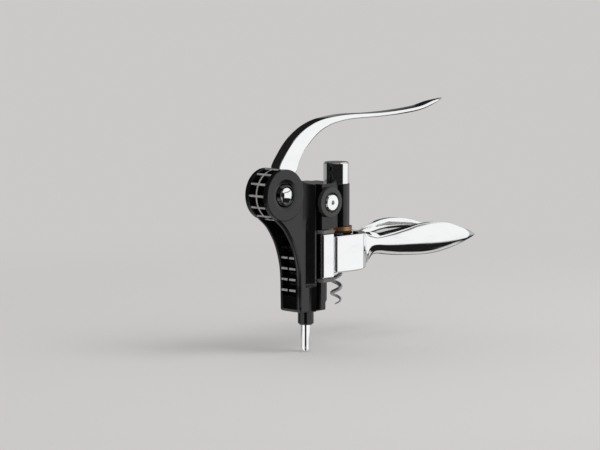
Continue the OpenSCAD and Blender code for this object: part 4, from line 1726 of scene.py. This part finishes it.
        edge, inside, drop = Vector((face(top), top)), Vector((inn, crown)), Vector((0.0, -soft))
        slope = (inside - edge).normalized() * soft
        points = [tuple(edge + drop * t**1.5 + slope * (1 - t) ** 1.5) for t in shares(4)]
        for t in shares(8, 1):
            z = top - soft + (crease - top + soft) * t
            points.append((face(z), z))
        corner, fold = face(crease), crease - second
        for t in shares(5, 1):
            points.append((corner - fold * (0.25 * t + 0.09 * t * t), crease - fold * t))
        far, rest = points[-1][0], second - low
        width = min(far - inn - 0.5 * soft, rest * 1.2)
        start, end = (math.radians(turn) for turn in self.under_turn)
        for t in shares(7, 1):
            a = start + (end - start) * t
            aside = (math.cos(start) - math.cos(a)) / (math.cos(start) - math.cos(end))
            fall = (math.sin(a) - math.sin(start)) / (math.sin(end) - math.sin(start))
            points.append((far - width * aside, second - rest * fall))
        foot, head = low + soft, crown - soft
        points.append((inn + soft * 0.3, low + soft * 0.3))
        for t in shares(12):
            hollow = math.sin(math.pi * min(1.0, t / self.dish_top)) ** 2
            points.append((inn + dish * hollow, foot + (head - foot) * t))
        points += [tuple(inside + drop * (1 - t) ** 1.5 - slope * t**1.5) for t in shares(4, 1)[:-1]]
        return [(x, self.side.value * y, z) for y, z in points]

    def arm(self) -> Form:
        """The handle, a dished bar that swells and tapers to its tip.

        Returns:
            The form.
        """
        curves = (
            self.outer, self.inner, self.upper, self.crown, self.crease, self.second, self.lower,
            self.dish,
        )
        lines = [Line(points) for points in curves]
        places = [self.root + self.root_step * i for i in range(self.root_cuts + 1)]
        start = places[-1]
        places += [start + (self.tip - start) * t for t in shares(self.stations, 1)]
        return Form().loft([self.ring(x, lines) for x in places])

    def build(self, shop: Workshop) -> None:
        """Builds the grip.

        Args:
            shop: The workshop.
        """
        body = Body.LEFT if self.side is Side.LEFT else Body.RIGHT
        form = self.jaw().combined(self.arm()).combined(self.link()).combined(self.knuckle_form())
        grip = f"grip_{self.side.word}"
        shop.piece(f"handle_{self.side.word}", form, Finishes.CHROME, body, "chrome_grip", [grip])
        pad = f"jaw_pad_{self.side.word}"
        form = Form().copy_of(pad, 0.3, 3)
        shop.piece(f"pad_{self.side.word}", form, Finishes.RUBBER, body, "rubber", [pad])


@dataclass(frozen=True)
class Panel:
    """A patch of the studio that polished metal mirrors, by its direction in degrees."""

    azimuth: float
    half: float
    low: float
    high: float
    level: float
    soft: float = 4.0

    def mask(self, x: Signal, y: Signal, z: Signal, along: Signal) -> Signal:
        """Where the panel stands.

        Args:
            x: The direction's part forward.
            y: Its part to the left.
            z: Its part up.
            along: Its part along the ground.

        Returns:
            A mask from 0 to 1.
        """
        azimuth, half = math.radians(self.azimuth), math.radians(self.half)
        low, high, soft = (math.radians(turn) for turn in (self.low, self.high, self.soft / 2))
        mask = z.step(math.sin(low - soft), math.sin(low + soft))
        if self.half < 180.0:
            facing = (x * math.cos(azimuth) + y * math.sin(azimuth)) / along
            mask = mask * facing.step(math.cos(half + soft), math.cos(half - soft))
        if self.high < 90.0:
            mask = mask * (1 - z.step(math.sin(high - soft), math.sin(high + soft)))
        return mask


@dataclass
class Studio:
    """Camera, floor, lamps and the surroundings that the metal mirrors."""

    eye: Point = (-1.4651, -1.4294, 0.2291)
    ahead: Point = (0.703, 0.7028, -0.109)
    lens: float = 178.95
    floor_z: float = -0.0803
    # The strip of floor that metal sees: its sides, the gap along its middle and where that
    # begins, and its ends
    pool_half: Flat = (0.058, 0.07)
    pool_split: Flat = (0.01, 0.016)
    pool_split_from: Flat = (0.045, 0.06)
    pool_back: Flat = (-0.16, -0.12)
    pool_front: Flat = (0.22, 0.27)
    # The patch round the rod that it sees lit: its reach, and lit and dark sectors with their halves
    rod: Flat = (-0.0297, 0.0)
    rod_reach: Flat = (0.24, 0.3)
    rod_light: Sequence[Flat] = ((172.5, 29.5), (264.5, 23.5))
    rod_dark: Flat = (221.5, 19.5)
    rod_slant: Flat = (0.007, 0.014)
    # Where the floor fades into the background, as distances from its middle
    fade: Flat = (0.3, 0.7)
    middle: Flat = (0.03, 0.0)
    ambient: float = 0.72
    back: Colour = (0.60, 0.585, 0.575)
    dark: float = 0.012
    panels: Sequence[Panel] = (
        Panel(319.0, 31.0, -15.0, 9.0, 1.0),
        Panel(326.0, 48.0, 12.5, 70.0, 1.0, 3.0),
        Panel(376.0, 26.0, -10.0, 9.0, 0.5, 6.0),
        Panel(86.0, 41.0, -30.0, 14.0, 0.34, 5.0),
        Panel(43.0, 6.0, -14.0, 1.0, 0.5, 3.0),
        Panel(200.0, 60.0, 18.0, 60.0, 0.14, 8.0),
        Panel(205.0, 70.0, -50.0, -12.0, 0.3),
        Panel(86.0, 36.0, -60.0, -34.0, 0.4, 6.0),
        Panel(0.0, 180.0, 74.0, 90.0, 0.7, 8.0),
    )

    def camera(self) -> None:
        """Puts the camera where it sees the tool as the photograph shows it."""
        data = bpy.data.cameras.new("camera")
        data.lens, data.sensor_width, data.clip_start, data.clip_end = self.lens, 36.0, 0.05, 50.0
        camera = bpy.data.objects.new("camera", data)
        camera.location = self.eye
        camera.rotation_mode = "QUATERNION"
        camera.rotation_quaternion = Vector(self.ahead).to_track_quat("-Z", "Y")
        bpy.context.scene.collection.objects.link(camera)
        bpy.context.scene.camera = camera

    def surroundings(self) -> None:
        """Pale grey for the camera, soft panels for metal, one level for everything else."""
        world = bpy.data.worlds.new("studio")
        bpy.context.scene.world = world
        world.use_nodes = True
        graph = Graph(world.node_tree)
        x, y, z = graph.split(graph.add("ShaderNodeTexCoord", {}, {})["Generated"])
        along = (x * x + y * y).most(1e-6) ** 0.5
        mirrored: Signal | float = self.dark
        for panel in self.panels:
            mirrored = panel.mask(x, y, z, along) * (panel.level - self.dark) + mirrored
        path = graph.add("ShaderNodeLightPath", {}, {})
        glossy = path["Is Glossy Ray"]
        strength = glossy * mirrored + (1 - glossy) * self.ambient
        light = graph.add("ShaderNodeBackground", {}, {"Color": WHITE, "Strength": strength})[0]
        paper = graph.add("ShaderNodeBackground", {}, {"Color": (*self.back, 1.0), "Strength": 1.0})[0]
        shown = graph.cover(path["Is Camera Ray"], light, paper)
        graph.add("ShaderNodeOutputWorld", {}, {"Surface": shown})

    def mirrored_floor(self, graph: Graph, x: Signal, y: Signal) -> tuple[Signal, Signal]:
        """Where polished metal sees the floor: a strip along the tool, and a lit patch round the rod.

        Args:
            graph: The floor's tree.
            x: The place forward, in metres.
            y: The place to the side, in metres.

        Returns:
            The strip's mask and the lit patch's, from 0 to 1.
        """
        dx, dy = x - self.rod[0], y - self.rod[1]
        reach = (dx * dx + dy * dy).most(1e-8) ** 0.5

        def sector(azimuth: float, half: float) -> Signal:
            """A mask of the directions seen from the rod."""
            a = math.radians(azimuth)
            facing = (dx * math.cos(a) + dy * math.sin(a)) / reach
            return facing.step(math.cos(math.radians(half + 1.5)), math.cos(math.radians(half - 1.5)))

        aside = (y * y) ** 0.5
        strip = 1 - aside.step(*self.pool_half)
        strip = strip * aside.step(*self.pool_split).most(1 - x.step(*self.pool_split_from))
        strip = strip * x.step(*self.pool_back) * (1 - x.step(*self.pool_front))
        light = sector(*self.rod_light[0]).most(sector(*self.rod_light[1]))
        light = light * (1 - reach.step(*self.rod_reach))
        slant = graph.add("ShaderNodeLightPath", {}, {})["Ray Length"] - reach
        light = light * (1 - slant.step(*self.rod_slant))
        return strip * (1 - sector(*self.rod_dark)), light

    def floor(self) -> None:
        """A pale floor that fades into the background, and that metal sees only near the tool."""
        data = bpy.data.meshes.new("floor")
        bm = bmesh.new()
        bmesh.ops.create_circle(bm, cap_ends=True, radius=3.0, segments=96)
        bmesh.ops.translate(bm, vec=(0.0, 0.0, self.floor_z), verts=bm.verts)
        bm.to_mesh(data)
        bm.free()
        floor = bpy.data.objects.new("floor", data)
        bpy.context.scene.collection.objects.link(floor)
        material = bpy.data.materials.new("pale_floor")
        material.use_nodes = True
        data.materials.append(material)
        graph = Graph(material.node_tree)
        place = graph.place()
        centred = graph.vector("ADD", place, (-self.middle[0], -self.middle[1], -self.floor_z))[0]
        path = graph.add("ShaderNodeLightPath", {}, {})
        glossy = path["Is Glossy Ray"]
        under = graph.add("ShaderNodeNewGeometry", {}, {})["Backfacing"]
        near = (*(c * 1.12 for c in self.back), 1.0)
        paper = graph.add("ShaderNodeBsdfDiffuse", {}, {"Color": near})[0]
        glow = graph.add("ShaderNodeEmission", {}, {"Color": (*self.back, 1.0), "Strength": 1.0})[0]
        lit = graph.add("ShaderNodeEmission", {}, {"Color": WHITE, "Strength": 1.05})[0]
        clear = graph.add("ShaderNodeBsdfTransparent", {}, {})[0]
        far = graph.vector("LENGTH", centred)["Value"].step(*self.fade)
        shown = graph.cover(path["Is Camera Ray"] * far, paper, glow)
        x, y, _ = graph.split(place)
        strip, light = self.mirrored_floor(graph, x, y)
        shown = graph.cover(glossy * light, shown, lit)
        gone = (glossy * (1 - strip.most(light))).most(under)
        graph.add("ShaderNodeOutputMaterial", {}, {"Surface": graph.cover(gone, shown, clear)})

    def lamp(self, name: str, where: Point, size: float, power: float) -> None:
        """Adds one soft lamp that looks at the tool.

        Args:
            name: The lamp's name.
            where: Its place, in metres.
            size: Its side, in metres.
            power: Its power, in watts.
        """
        data = bpy.data.lights.new(name, "AREA")
        data.shape, data.size, data.energy = "SQUARE", size, power
        lamp = bpy.data.objects.new(name, data)
        lamp.location = where
        lamp.rotation_mode = "QUATERNION"
        lamp.rotation_quaternion = (-Vector(where)).to_track_quat("-Z", "Y")
        lamp.visible_glossy = False
        bpy.context.scene.collection.objects.link(lamp)

    def build(self) -> None:
        """Builds the studio."""
        self.camera()
        self.surroundings()
        self.floor()
        self.lamp("key", (0.5, -1.0, 1.3), 0.9, 9.0)
        bpy.context.scene.view_settings.view_transform = "Standard"


def main() -> None:
    """Builds every sub-assembly in order."""
    logging.basicConfig(level=logging.INFO, format="%(message)s")
    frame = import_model()
    shop = Workshop(frame["nodes"])
    BodyFrame().build(shop)
    LeverUnit().build(shop)
    CarriageUnit().build(shop)
    WormUnit().build(shop)
    for side in Side:
        GripUnit(side).build(shop)
    Studio().build()


if __name__ == "__main__":
    main()
